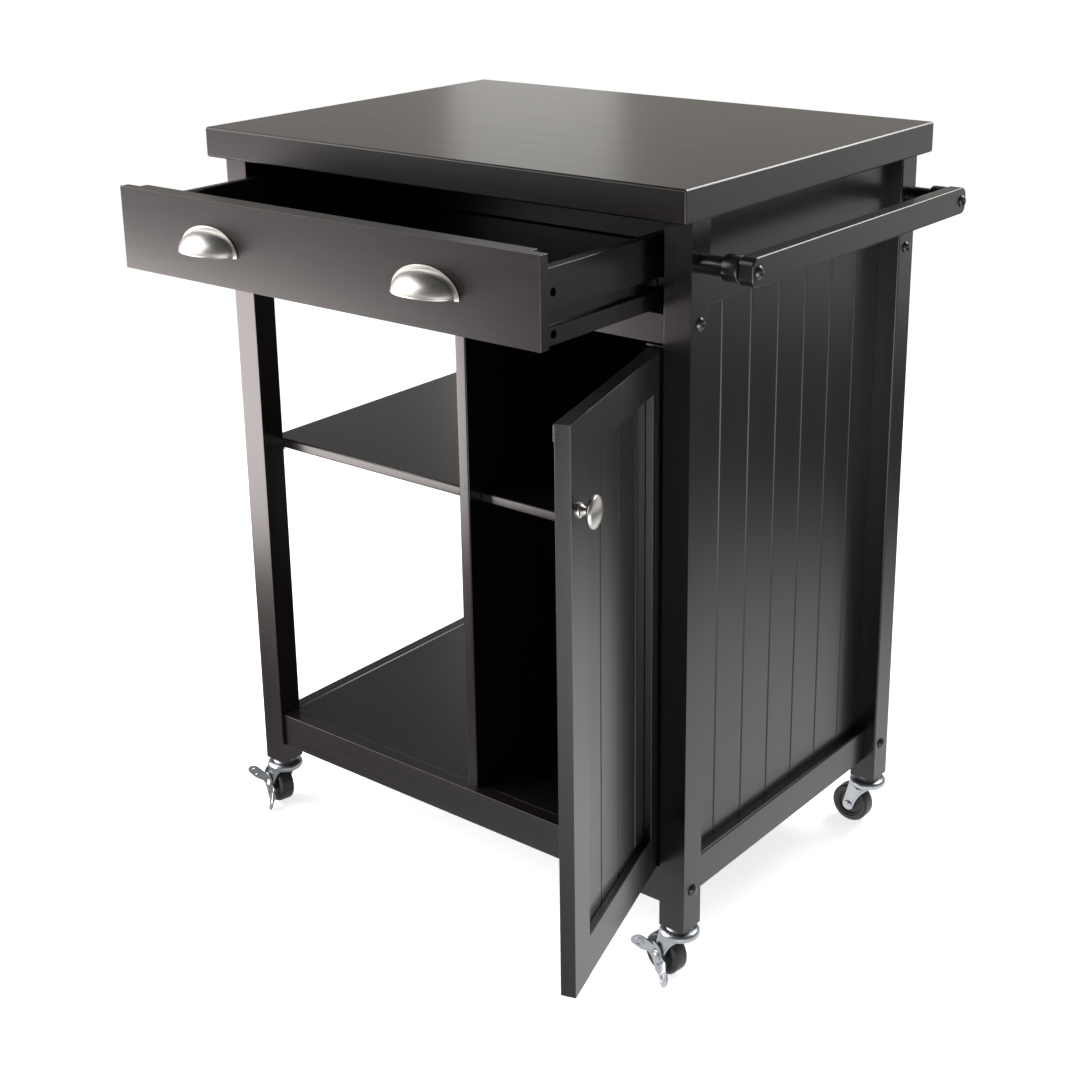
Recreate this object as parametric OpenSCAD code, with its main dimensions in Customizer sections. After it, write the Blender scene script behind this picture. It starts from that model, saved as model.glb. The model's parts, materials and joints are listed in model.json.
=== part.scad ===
// Rolling kitchen cart: a thick worktop on four square posts, a full-width drawer with two
// cup pulls, an open shelf bay, a cabinet with a hinged door, a towel bar and four casters.
// It is drawn at rest with the drawer pulled out and the door swung open.
// The origin is on the floor under the middle of the worktop: X right, Y back, Z up.

/* [Worktop] */
// Length of the worktop, left to right
top_length = 686; // [560:1:1000]
// Depth of the worktop, front to back
top_depth = 506; // [440:1:700]
// Thickness of the worktop
top_thick = 35; // [18:1:50]
// Height of the worktop's surface above the floor
top_height = 910; // [840:1:1000]
// Overhang past the posts at each side
overhang_side = 8; // [0:0.5:40]
// Overhang past the posts at front and back
overhang_front = 23; // [0:0.5:50]

/* [Frame] */
// Side of the square posts
post_side = 33; // [30:1:50]
// Thickness of the rails
rail_thick = 18; // [14:1:24]
// Setback of the front and back rails from the posts' faces
rail_setback = 4.5; // [2:0.5:8]
// Height of the bottom rails
rail_height = 44; // [36:1:70]
// Height of the bottom rails above the posts' lower ends
rail_lift = 26; // [6:1:60]
// Height of the rail under the drawer
drawer_rail_height = 33; // [22:1:50]
// Height of the top side rails
side_rail_height = 98; // [60:1:104]
// Diameter of the frame bolts' shanks
bolt_d = 6; // [4:0.5:8]
// Length of a frame bolt in the rail's end
bolt_reach = 25; // [12:1:40]
// Diameter of the domed bolt heads
bolt_head_d = 14; // [10:0.5:18]
// Height of the domed bolt heads
bolt_head_h = 4.5; // [2:0.5:6]
// Clearance on the diameter of fixed bores
bore_clear = 0.1; // [0.05:0.01:0.2]

/* [Panels and shelves] */
// Thickness of the grooved side panel
side_panel_thick = 6; // [5:0.5:10]
// Distance between the panel grooves
groove_pitch = 55.6; // [30:0.1:90]
// Place of the groove nearest to the middle of the side panel
groove_start = -21.6; // [-40:0.1:40]
// Depth of the panel grooves
groove_depth = 1.5; // [0.5:0.1:2]
// Thickness of the bottom panel
bottom_thick = 12; // [9:0.5:18]
// Height of the bottom rails above the bottom panel
bottom_drop = 1; // [0:0.5:6]
// Left face of the divider, from the middle of the cart
divider_x = 9; // [-60:0.5:60]
// Thickness of the divider
divider_thick = 15; // [13:0.5:20]
// Setback of the divider from the posts' front faces
divider_setback = 14; // [8:0.5:20]
// Thickness of the cabinet's back panel
back_thick = 5.5; // [3:0.5:12]
// Height of the shelves above the bottom panel
shelf_height = 375; // [200:1:480]
// Thickness of the shelves
shelf_thick = 12.5; // [9:0.5:20]
// Setback of the cabinet shelf behind the divider's front edge
shelf_setback = 21; // [12:1:60]
// Clearance at the shelves' ends
shelf_clear = 0.5; // [0.2:0.1:2]
// Diameter of the shelf pins
pin_d = 6; // [4:0.5:8]
// Length of a shelf pin outside its hole
pin_reach = 8; // [5:0.5:12]
// Place of the shelf pins, from the middle of the depth
pin_y = 110; // [90:1:140]

/* [Drawer] */
// Height of the drawer opening under the worktop
drawer_opening = 99; // [96:1:130]
// Gap above the drawer front
drawer_gap_top = 4; // [2:0.5:8]
// Gap below the drawer front
drawer_gap_bottom = 3; // [2:0.5:6]
// Gap between the drawer front and each post
drawer_gap_side = 5; // [2:0.5:8]
// Setback of the closed drawer front from the posts' front faces
drawer_setback = 2; // [0:0.5:6]
// Thickness of the drawer front
front_thick = 22; // [18:0.5:28]
// Thickness of the tongues at the drawer front's ends
front_tongue = 12; // [8:0.5:14]
// Gap between the drawer's side and the post
side_gap = 13; // [10:0.5:18]
// Thickness of the drawer's sides and back
side_thick = 12; // [10:0.5:15]
// Height of the drawer's sides
side_height = 75; // [60:1:80]
// Length of the drawer's sides
side_length = 401; // [300:1:405]
// Thickness of the drawer's bottom
drawer_bottom_thick = 5; // [3:0.5:6]
// Height of the drawer's bottom above the sides' lower edges
drawer_bottom_lift = 8; // [6:0.5:10]
// Depth of the drawer bottom in its grooves
drawer_bottom_inset = 4; // [2:0.5:5]
// Height of the runner grooves above the sides' lower edges
runner_lift = 18; // [16:0.5:24]
// Height of the runner grooves
runner_groove = 13; // [8:0.5:18]
// Depth of the runner grooves
runner_depth = 6; // [4:0.5:7]
// Running gap over the runners
runner_gap = 0.3; // [0.2:0.05:0.6]
// Distance that the drawer is pulled out
drawer_out = 191; // [0:1:290]

/* [Cup pulls] */
// Distance of each pull from the middle of the drawer
pull_x = 155; // [60:1:200]
// Overall width of a pull
pull_width = 88; // [70:1:110]
// Overall height of a pull
pull_height = 30.5; // [28:0.5:40]
// Width of the pull's flange
pull_flange = 3.5; // [3:0.5:9]
// Depth of the pull's hollow cup
pull_depth = 26; // [20:0.5:32]
// Wall of the pull
pull_wall = 1.6; // [1:0.1:2.5]
// Height of the pull's lower edge above the drawer front's
pull_lift = 34; // [10:1:50]
// Distance of each pull screw from the pull's middle
pull_screw_x = 27; // [20:0.5:30]
// Diameter of the pull screws
pull_screw_d = 4; // [3:0.5:5]

/* [Door] */
// Gap between the door and the divider
door_gap_latch = 1.5; // [1:0.5:4]
// Gap between the door and the post
door_gap_hinge = 1.5; // [1:0.5:3]
// Gap under the door
door_gap_bottom = 5; // [3:0.5:10]
// Gap above the door
door_gap_top = 3; // [2.5:0.5:8]
// Thickness of the door
door_thick = 16; // [14:0.5:20]
// Setback of the closed door from the posts' front faces
door_setback = 1.5; // [0:0.5:4]
// Width of the door's stiles and top rail
stile_width = 41; // [30:1:60]
// Width of the door's bottom rail
door_rail_width = 46; // [30:1:80]
// Thickness of the door panel
door_panel_thick = 6; // [4:0.5:7]
// Depth of the door panel behind the frame's outer face
door_panel_recess = 8.5; // [5:0.5:8.5]
// Depth of the door panel in the frame's grooves
door_panel_inset = 8; // [4:0.5:10]
// Distance between the door panel's grooves
door_groove_pitch = 52.7; // [30:0.1:70]
// Place of the first groove from the door's free edge
door_groove_start = 99; // [80:0.5:120]
// Distance of the pivot from the door's hinge edge
pivot_inset = 8; // [7:0.5:9]
// Radius of the door's outer corner at the hinge edge
pivot_corner = 5; // [4:0.5:6]
// Diameter of the pivot pins
pivot_d = 5; // [4:0.5:6]
// Length of the pivot pins in the door
pivot_reach = 12; // [8:0.5:20]
// Thickness of the pivot plates
pivot_plate = 2; // [1:0.5:2]
// Angle that the door stands open
door_open = 107.2; // [0:0.1:115]
// Height of the knob below the door's top edge
knob_drop = 87; // [60:1:300]
// Distance of the knob from the door's free edge
knob_inset = 20.5; // [18:0.5:40]
// Diameter of the knob
knob_d = 33; // [26:0.5:40]
// Distance that the knob stands out
knob_reach = 21; // [20:0.5:34]
// Diameter of the knob's foot
knob_foot_d = 15; // [12:0.5:20]
// Diameter of the knob's neck
knob_neck_d = 6.6; // [5:0.2:9]
// Thickness of the knob's rim
knob_rim = 6.2; // [4:0.2:7]

/* [Magnetic catch] */
// Width of the catch
catch_width = 12; // [8:0.5:20]
// Height of the catch
catch_height = 16; // [10:0.5:24]
// Length of the catch
catch_length = 20; // [12:0.5:40]
// Thickness of the strike plate
strike_thick = 1.5; // [1:0.5:2]

/* [Towel bar] */
// Height of the towel bar's middle below the worktop's surface
bar_drop = 80; // [60:1:90]
// Height of the towel bar's section
bar_height = 30; // [20:0.5:40]
// Thickness of the towel bar
bar_thick = 18; // [12:0.5:24]
// Length of the towel bar past each arm
bar_end = 10.5; // [8:0.5:30]
// Corner radius of the towel bar
bar_corner = 9; // [2:0.5:10]
// Diameter of the arms
arm_d = 20; // [14:0.5:26]
// Length of the arms up to their collars
arm_length = 30; // [20:0.5:60]
// Diameter of the collars
collar_d = 28; // [20:0.5:34]
// Length of the collars
collar_length = 19; // [10:0.5:30]
// Depth of the towel bar bolts in the posts
arm_bolt_reach = 24; // [12:0.5:28]

/* [Casters] */
// Height of the casters up to the posts
caster_height = 72; // [68:0.5:90]
// Diameter of the wheels
wheel_d = 50; // [40:0.5:52]
// Width of the wheels
wheel_width = 19; // [14:0.5:24]
// Distance of the wheel's axle behind the stem
trail = 20; // [14:0.5:26]
// Diameter of the swivel crowns
crown_d = 46; // [40:0.5:50]
// Height of the swivel crowns
crown_height = 12.7; // [10:0.1:13]
// Height of the swivel crowns' straight band
crown_band = 5; // [3:0.5:7]
// Thickness of the fork's cheeks
cheek_thick = 2.5; // [2:0.1:4]
// Gap between the wheel and each cheek
cheek_gap = 1.5; // [1:0.1:3]
// Diameter of the axles
axle_d = 6; // [5:0.5:8]
// Running clearance on the diameter of wheels, stems and pivots
run_clear = 0.1; // [0.04:0.01:0.2]
// Diameter of the stems
stem_d = 9.5; // [8:0.5:11]
// Length of the stems in the posts
stem_reach = 32; // [20:1:40]
// Diameter of the washers under the posts
washer_d = 30; // [24:0.5:32]
// Thickness of the washers
washer_thick = 2; // [1:0.5:3]
// Gap between moving faces of a caster
swivel_gap = 0.3; // [0.2:0.05:0.6]
// Thickness of the brake pedals
pedal_thick = 2.5; // [2:0.1:4]
// Width of the brake pedals' lobes
pedal_width = 14; // [12:0.5:16]
// Reach of a brake pedal's upper lobe from the axle
pedal_up = 33; // [28:0.5:34]
// Reach of a brake pedal's lower lobe from the axle
pedal_down = 33; // [28:0.5:34]
// Lean of the raised brake pedals' lobes from upright
pedal_lean = 50; // [48:1:60]
// Outward bend of the brake pedals' lobes
pedal_bend = 28; // [10:1:40]
// Reach of a brake pedal's oval body above the axle
pedal_body_up = 18; // [12:0.5:24]
// Reach of a brake pedal's oval body below the axle
pedal_body_down = 23; // [14:0.5:24]
// Lean of the brake pedals' oval bodies from upright
pedal_body_lean = 20; // [10:1:30]
// Swivel angle of the front left caster
swivel_front_left = 168; // [0:1:360]
// Swivel angle of the front right caster
swivel_front_right = 172; // [0:1:360]
// Swivel angle of the rear left caster
swivel_rear_left = 176; // [0:1:360]
// Swivel angle of the rear right caster
swivel_rear_right = 180; // [0:1:360]

/* [Hidden] */
$fn = 64;

// Colours as the photograph shows them
wood = "#2b2725";
wood_top = "#3a3633";
wood_inside = "#4a4642";
nickel = "#a8a6a2";
dark_steel = "#55524f";
zinc = "#b4b4b2";
tread = "#4a494b";

// Small distance that carries a cut past a face
past = 1;

// Planes of the frame
post_outer_x = top_length / 2 - overhang_side;
post_inner_x = post_outer_x - post_side;
post_outer_y = top_depth / 2 - overhang_front;
post_inner_y = post_outer_y - post_side;
post_mid_x = post_outer_x - post_side / 2;
post_mid_y = post_outer_y - post_side / 2;
top_under = top_height - top_thick;
rail_front = post_outer_y - rail_setback;
rail_back = rail_front - rail_thick;
rail_low = caster_height + rail_lift;
rail_high = rail_low + rail_height;
drawer_rail_high = top_under - drawer_opening;
drawer_rail_low = drawer_rail_high - drawer_rail_height;
side_rail_x = post_inner_x + rail_thick;
side_rail_low = top_under - side_rail_height;

// Panels and shelves
floor_z = rail_high - bottom_drop;
divider_right = divider_x + divider_thick;
divider_front = -(post_outer_y - divider_setback);
shelf_top = floor_z + shelf_height;
shelf_low = shelf_top - shelf_thick;
pin_z = shelf_low - pin_d / 2;
pin_hole = 4.5;
pin_hole_post = 12;
post_pin_x = (post_inner_x + side_rail_x) / 2;
bolt_z_low = rail_low + rail_height / 2;
bolt_z_high = drawer_rail_high - bolt_head_d / 2 - 1;

// Drawer, drawn closed and then pulled out
front_half = post_inner_x - drawer_gap_side;
front_y = -(post_outer_y - drawer_setback);
front_low = drawer_rail_high + drawer_gap_bottom;
front_high = top_under - drawer_gap_top;
front_inner = front_y + front_thick;
side_outer = post_inner_x - side_gap;
side_inner = side_outer - side_thick;
side_front = front_y + front_tongue;
side_rear = side_front + side_length;
side_high = front_low + side_height;
drawer_floor = front_low + drawer_bottom_lift;
drawer_floor_top = drawer_floor + drawer_bottom_thick;
groove_extra = 0.5;
cam_d = 9;
cam_depth = 7;
cam_inset = 17;
cam_lifts = [drawer_bottom_lift + drawer_bottom_thick / 2, runner_lift + runner_groove + 20];
runner_low_gap = 1;
runner_side_gap = 0.6;
runner_front = side_front + 2;
screw_head_d = 8;
screw_head_h = 2.5;

// Cup pull: a quarter of a lens-shaped shell on an arched flange
cup_half = pull_width / 2 - pull_flange;
cup_r = (cup_half * cup_half + pull_depth * pull_depth) / (2 * pull_depth);
flange_half = pull_width / 2;
flange_r = (flange_half * flange_half + pull_height * pull_height) / (2 * pull_height);
flange_thick = 2;
lip_r = 1.4;
boss_d = 7.5;
boss_z = 7;
pull_screw_reach = 8;

// Door, drawn closed and then swung open about its pivot
door_left = divider_right + door_gap_latch;
door_right = post_inner_x - door_gap_hinge;
door_low = rail_high + door_gap_bottom;
door_high = drawer_rail_low - door_gap_top;
door_outer = -(post_outer_y - door_setback);
door_inner = door_outer + door_thick;
pivot_x = door_right - pivot_inset;
pivot_y = door_outer + pivot_corner;
panel_y = door_outer + door_panel_recess;
panel_fit = 0.2;
panel_end_gap = 1;
pivot_shoulder_d = 8;
pivot_plate_w = 22;
knob_z = door_high - knob_drop;
knob_x = door_left + knob_inset;
knob_screw_d = 3;
knob_screw_reach = 10;
catch_z = drawer_rail_low - 5 - catch_height;
catch_gap = 0.5;

// Towel bar
bar_z = top_height - bar_drop;
bar_inner = post_outer_x + arm_length + collar_length;
bar_outer = bar_inner + bar_thick;
bar_half = post_mid_y + bar_end;

// Casters, drawn with the stem on the Z axis and the wheel trailing along +X
axle_z = wheel_d / 2;
washer_low = caster_height - washer_thick;
crown_top = washer_low - swivel_gap;
crown_low = crown_top - crown_height;
crown_neck_d = washer_d - 1;
stem_head_d = 14;
stem_head_h = 2.2;
stem_head_top = crown_low - swivel_gap;
cheek_inner = wheel_width / 2 + cheek_gap;
cheek_outer = cheek_inner + cheek_thick;
boss_r = 7;
cheek_inset = 1;
axle_head_d = 10;
axle_head_h = 2;
wheel_round = 3;
pedal_inner = cheek_outer + swivel_gap;
pedal_outer = pedal_inner + pedal_thick;
pedal_bend_start = 11;
pedal_lap = 1.1;
hub_proud = 0.7;
hub_r = 8;
rim_inner_r = wheel_d / 2 - 8;
web_half = wheel_width / 2 - 3;

// Box between two corners
module block(low, high) {
    translate(low)
        cube(high - low);
}

// Cylinder along X from x0 to x1
module rod_x(d, x0, x1, y, z) {
    translate([x0, y, z])
        rotate([0, 90, 0])
            cylinder(d = d, h = x1 - x0);
}

// Cylinder along Y from y0 to y1
module rod_y(d, y0, y1, x, z) {
    translate([x, y1, z])
        rotate([90, 0, 0])
            cylinder(d = d, h = y1 - y0);
}

// Domed cap of a sphere on the plane z = 0
module dome(d, h) {
    r = (d * d / 4 + h * h) / (2 * h);
    intersection() {
        translate([0, 0, h - r])
            sphere(r = r);
        translate([-d, -d, 0])
            cube([2 * d, 2 * d, h + past]);
    }
}

// Domed bolt along X with its head's seat at x = seat, its shank running back toward 0
module bolt_x(seat, reach, d, head_d, head_h, y, z) {
    translate([seat, y, z])
        rotate([0, 90, 0]) {
            dome(head_d, head_h);
            translate([0, 0, -reach])
                cylinder(d = d, h = reach + head_h / 2);
        }
}

// V-shaped groove along Z, cut into a face that looks to -Y
module groove_z(x, y, z0, z1) {
    side = groove_depth * sqrt(2);
    translate([x, y, z0])
        rotate([0, 0, 45])
            translate([-side / 2, -side / 2, 0])
                cube([side, side, z1 - z0]);
}

// Both sides of the frame
module mirror_sides() {
    children();
    mirror([1, 0, 0])
        children();
}

// Worktop

module worktop() {
    half_x = top_length / 2;
    half_y = top_depth / 2;
    color(wood_top)
        block([-half_x, -half_y, top_under], [half_x, half_y, top_height]);
}

// Posts, with bores for the caster stem, the frame bolts, the towel bar and the shelf pins

module post_solid(has_bar, has_pin) {
    hole = bolt_d + bore_clear;
    difference() {
        block([post_inner_x, post_inner_y, caster_height], [post_outer_x, post_outer_y, top_under]);
        for (z = [bolt_z_low, bolt_z_high])
            rod_x(hole, post_inner_x - past, post_outer_x + past, post_mid_y, z);
        if (has_bar)
            rod_x(hole, post_outer_x - arm_bolt_reach - past, post_outer_x + past, post_mid_y, bar_z);
        if (has_pin)
            rod_y(pin_d, post_inner_y - past, post_inner_y + pin_hole_post, post_pin_x, pin_z);
        translate([post_mid_x, post_mid_y, caster_height - past])
            cylinder(d = stem_d + bore_clear, h = stem_reach + past);
    }
}

module post_front_left() {
    color(wood)
        rotate([0, 0, 180])
            post_solid(false, true);
}

module post_front_right() {
    color(wood)
        mirror([0, 1, 0])
            post_solid(true, false);
}

module post_rear_left() {
    color(wood)
        mirror([1, 0, 0])
            post_solid(false, true);
}

module post_rear_right() {
    color(wood)
        post_solid(true, false);
}

// Rails between the posts

// Rail along X between the posts, with end bores for frame bolts at one height
module rail_x(z0, z1, bolt_z) {
    bore_end = post_inner_x - bolt_reach - past;
    difference() {
        block([-post_inner_x, rail_back, z0], [post_inner_x, rail_front, z1]);
        mirror_sides()
            rod_x(bolt_d + bore_clear, bore_end, post_inner_x + past, post_mid_y, bolt_z);
    }
}

// Rail along Y between the right posts
module rail_y(z0, z1) {
    block([post_inner_x, -post_inner_y, z0], [side_rail_x, post_inner_y, z1]);
}

module rail_bottom_front() {
    color(wood)
        mirror([0, 1, 0])
            rail_x(rail_low, rail_high, bolt_z_low);
}

module rail_bottom_rear() {
    color(wood)
        rail_x(rail_low, rail_high, bolt_z_low);
}

module rail_bottom_left() {
    color(wood)
        mirror([1, 0, 0])
            rail_y(rail_low, rail_high);
}

module rail_bottom_right() {
    color(wood)
        rail_y(rail_low, rail_high);
}

module rail_drawer_front() {
    color(wood)
        mirror([0, 1, 0])
            rail_x(drawer_rail_low, drawer_rail_high, bolt_z_high);
}

module rail_top_rear() {
    color(wood)
        rail_x(drawer_rail_low, top_under, bolt_z_high);
}

module rail_top_left() {
    color(wood)
        mirror([1, 0, 0])
            rail_y(side_rail_low, top_under);
}

module rail_top_right() {
    color(wood)
        rail_y(side_rail_low, top_under);
}

// Panels

// Grooved panel between the right rails, its boards running up
module side_panel_right() {
    color(wood)
        difference() {
            block([post_inner_x, -post_inner_y, rail_high],
                [post_inner_x + side_panel_thick, post_inner_y, side_rail_low]);
            for (y = [groove_start : -groove_pitch : -post_inner_y])
                side_groove(y);
            for (y = [groove_start + groove_pitch : groove_pitch : post_inner_y])
                side_groove(y);
            for (y = [-pin_y, pin_y])
                rod_x(pin_d, post_inner_x - past, post_inner_x + pin_hole, y, pin_z);
        }
}

// One groove on the outer face of the side panel
module side_groove(y) {
    rotate([0, 0, 90])
        groove_z(y, -(post_inner_x + side_panel_thick), rail_high - past, side_rail_low + past);
}

module back_panel() {
    color(wood_inside)
        block([divider_x, rail_back, rail_high], [post_inner_x, rail_back + back_thick, drawer_rail_low]);
}

module divider() {
    color(wood_inside)
        difference() {
            block([divider_x, divider_front, floor_z], [divider_right, rail_back, drawer_rail_low]);
            block([divider_x - past, divider_front - past, floor_z - past],
                [divider_right + past, -rail_back, rail_high]);
            for (y = [-pin_y, pin_y]) {
                rod_x(pin_d, divider_x - past, divider_x + pin_hole, y, pin_z);
                rod_x(pin_d, divider_right - pin_hole, divider_right + past, y, pin_z);
            }
        }
}

module bottom_panel() {
    color(wood_inside)
        block([-post_inner_x, -rail_back, floor_z - bottom_thick], [post_inner_x, rail_back, floor_z]);
}

// Shelves and their pins

module shelf_left() {
    color(wood_inside)
        block([-side_rail_x, -(post_inner_y - shelf_clear), shelf_low],
            [divider_x - shelf_clear, post_inner_y - shelf_clear, shelf_top]);
}

module shelf_cabinet() {
    color(wood_inside)
        block([divider_right + shelf_clear, divider_front + shelf_setback, shelf_low],
            [post_inner_x - shelf_clear, rail_back - shelf_clear, shelf_top]);
}

module shelf_pins() {
    color(nickel) {
        for (y = [-pin_y, pin_y]) {
            rod_x(pin_d, divider_x - pin_reach, divider_x + pin_hole, y, pin_z);
            rod_x(pin_d, divider_right - pin_hole, divider_right + pin_reach, y, pin_z);
            rod_x(pin_d, post_inner_x - pin_reach, post_inner_x + pin_hole, y, pin_z);
        }
        for (turn = [0, 1])
            mirror([0, turn, 0])
                rod_y(pin_d, post_inner_y - pin_reach, post_inner_y + pin_hole_post, -post_pin_x, pin_z);
    }
}

// Runners that carry the drawer, on the posts and the top side rails

module runner() {
    inner = side_outer - runner_depth + runner_side_gap;
    low = front_low + runner_lift;
    block([inner, runner_front, low + runner_low_gap],
        [post_inner_x, post_inner_y, low + runner_groove - runner_gap]);
}

module drawer_runner_left() {
    color(wood_inside)
        mirror([1, 0, 0])
            runner();
}

module drawer_runner_right() {
    color(wood_inside)
        runner();
}

// Towel bar on two round arms

module towel_bar() {
    corner_y = bar_half - bar_corner;
    corner_z = bar_height / 2 - bar_corner;
    half_z = bar_height / 2;
    color(wood)
        difference() {
            union() {
                block([bar_inner, -corner_y, bar_z - half_z], [bar_outer, corner_y, bar_z + half_z]);
                block([bar_inner, -bar_half, bar_z - corner_z], [bar_outer, bar_half, bar_z + corner_z]);
                for (y = [-corner_y, corner_y], z = [-corner_z, corner_z])
                    rod_x(2 * bar_corner, bar_inner, bar_outer, y, bar_z + z);
            }
            for (y = [-post_mid_y, post_mid_y])
                rod_x(bolt_d + bore_clear, bar_inner - past, bar_outer + past, y, bar_z);
        }
}

module towel_bar_arm(y) {
    arm_end = post_outer_x + arm_length;
    color(wood)
        difference() {
            union() {
                rod_x(arm_d, post_outer_x, arm_end, y, bar_z);
                rod_x(collar_d, arm_end, bar_inner, y, bar_z);
            }
            rod_x(bolt_d + bore_clear, post_outer_x - past, bar_inner + past, y, bar_z);
        }
}

module towel_bar_arm_front() {
    towel_bar_arm(-post_mid_y);
}

module towel_bar_arm_rear() {
    towel_bar_arm(post_mid_y);
}

module towel_bar_bolts() {
    reach = bar_outer - post_outer_x + arm_bolt_reach;
    color(dark_steel)
        for (y = [-post_mid_y, post_mid_y])
            bolt_x(bar_outer, reach, bolt_d, bolt_head_d, bolt_head_h, y, bar_z);
}

module frame_bolts() {
    color(dark_steel)
        mirror_sides()
            for (y = [-post_mid_y, post_mid_y], z = [bolt_z_low, bolt_z_high])
                bolt_x(post_outer_x, post_side + bolt_reach, bolt_d, bolt_head_d, bolt_head_h, y, z);
}

// Pivot plates of the door and the magnetic catch

module door_pivots() {
    plate_left = post_inner_x - pivot_plate_w;
    plate_front = pivot_y - pivot_d;
    shoulder = door_gap_bottom - pivot_plate - swivel_gap;
    color(zinc) {
        block([plate_left, plate_front, drawer_rail_low - pivot_plate],
            [post_inner_x, -rail_back, drawer_rail_low]);
        translate([pivot_x, pivot_y, door_high - pivot_reach])
            cylinder(d = pivot_d, h = door_gap_top + pivot_reach);
        block([plate_left, plate_front, rail_high], [post_inner_x, -rail_back, rail_high + pivot_plate]);
        translate([pivot_x, pivot_y, rail_high + pivot_plate])
            cylinder(d = pivot_shoulder_d, h = shoulder);
        translate([pivot_x, pivot_y, rail_high])
            cylinder(d = pivot_d, h = door_gap_bottom + pivot_reach);
    }
}

module magnetic_catch() {
    catch_front = door_inner + strike_thick + catch_gap;
    color(dark_steel)
        block([divider_right, catch_front, catch_z],
            [divider_right + catch_width, catch_front + catch_length, catch_z + catch_height]);
}

// Stems of the casters, with their washers and riveted lower heads

module caster_stem() {
    color(zinc) {
        translate([0, 0, stem_head_top - stem_head_h])
            cylinder(d = stem_d, h = caster_height + stem_reach - stem_head_top + stem_head_h);
        translate([0, 0, stem_head_top - stem_head_h])
            cylinder(d = stem_head_d, h = stem_head_h);
        translate([0, 0, washer_low])
            cylinder(d = washer_d, h = washer_thick);
    }
}

module caster_stems() {
    for (x = [-post_mid_x, post_mid_x], y = [-post_mid_y, post_mid_y])
        translate([x, y, 0])
            caster_stem();
}

// Drawer

module pulled_out() {
    translate([0, -drawer_out, 0])
        children();
}

// Screw places of both pulls
pull_screws = [for (side = [-1, 1], dx = [-1, 1]) side * pull_x + dx * pull_screw_x];

module drawer_front() {
    groove = drawer_bottom_inset + groove_extra;
    screw_z = front_low + pull_lift + boss_z;
    color(wood_top)
        pulled_out()
            difference() {
                block([-front_half, front_y, front_low], [front_half, front_inner, front_high]);
                mirror_sides()
                    block([side_inner, side_front, front_low - past],
                        [front_half + past, front_inner + past, front_high + past]);
                block([-side_inner - past, front_inner - groove, drawer_floor],
                    [side_inner + past, front_inner + past, drawer_floor_top]);
                for (x = pull_screws)
                    rod_y(pull_screw_d + bore_clear, front_y - past, front_inner + past, x, screw_z);
            }
}

// Side of the drawer at the right, with its runner groove and two fitting holes
module drawer_side() {
    cam_y = side_front + cam_inset;
    difference() {
        block([side_inner, side_front, front_low], [side_outer, side_rear, side_high]);
        block([side_inner - past, side_front - past, drawer_floor],
            [side_inner + drawer_bottom_inset + groove_extra, side_rear + past, drawer_floor_top]);
        block([side_outer - runner_depth, side_front - past, front_low + runner_lift],
            [side_outer + past, side_rear + past, front_low + runner_lift + runner_groove]);
        for (lift = cam_lifts)
            rod_x(cam_d, side_outer - cam_depth, side_outer + past, cam_y, front_low + lift);
    }
}

module drawer_side_left() {
    color(wood)
        pulled_out()
            mirror([1, 0, 0])
                drawer_side();
}

module drawer_side_right() {
    color(wood)
        pulled_out()
            drawer_side();
}

module drawer_back() {
    color(wood)
        pulled_out()
            block([-side_inner, side_rear - side_thick, drawer_floor_top],
                [side_inner, side_rear, side_high]);
}

module drawer_bottom() {
    half = side_inner + drawer_bottom_inset;
    color(wood_inside)
        pulled_out()
            difference() {
                block([-half, front_inner - drawer_bottom_inset, drawer_floor],
                    [half, side_rear, drawer_floor_top]);
                mirror_sides()
                    block([side_inner, front_inner - drawer_bottom_inset - past, drawer_floor - past],
                        [half + past, front_inner, drawer_floor_top + past]);
            }
}

// Solid of revolution about X with a circular-arc profile: half length a, middle radius b
module lens_x(a, b, arc_r) {
    rotate([0, -90, 0])
        rotate_extrude($fn = 96)
            intersection() {
                translate([b - arc_r, 0])
                    circle(r = arc_r, $fn = 96);
                translate([0, -a])
                    square([b, 2 * a]);
            }
}

// Space in front of the drawer front's face and above the pull's lower edge
module pull_space() {
    translate([-pull_width, -2 * pull_depth, 0])
        cube([2 * pull_width, 2 * pull_depth, 2 * pull_height]);
}

// Bin pull on the plane y = 0, its lower edge at z = 0, opening downward
module cup_pull() {
    color(nickel)
        difference() {
            union() {
                intersection() {
                    lens_x(cup_half, pull_depth, cup_r);
                    pull_space();
                }
                translate([0, -flange_thick, 0])
                    intersection() {
                        translate([0, flange_thick, pull_height - flange_r])
                            rotate([90, 0, 0])
                                cylinder(r = flange_r, h = flange_thick, $fn = 96);
                        translate([-pull_width, 0, 0])
                            cube([2 * pull_width, flange_thick, pull_height]);
                    }
                pull_lip();
            }
            difference() {
                lens_x(cup_half - pull_wall, pull_depth - pull_wall, cup_r - pull_wall);
                for (x = [-pull_screw_x, pull_screw_x])
                    rod_y(boss_d, -pull_depth, past, x, boss_z);
            }
            for (x = [-pull_screw_x, pull_screw_x])
                rod_y(pull_screw_d + bore_clear, -pull_screw_reach, past, x, boss_z);
        }
}

// Rolled lip along the cup's lower front edge
module pull_lip() {
    sweep = 2 * asin(cup_half / cup_r);
    intersection() {
        translate([0, cup_r - pull_depth, lip_r])
            rotate([0, 0, -90 - sweep / 2])
                rotate_extrude(angle = sweep, $fn = 96)
                    translate([cup_r - pull_wall / 2, 0])
                        circle(r = lip_r, $fn = 24);
        pull_space();
    }
}

module cup_pull_left() {
    pulled_out()
        translate([-pull_x, front_y, front_low + pull_lift])
            cup_pull();
}

module cup_pull_right() {
    pulled_out()
        translate([pull_x, front_y, front_low + pull_lift])
            cup_pull();
}

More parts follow.
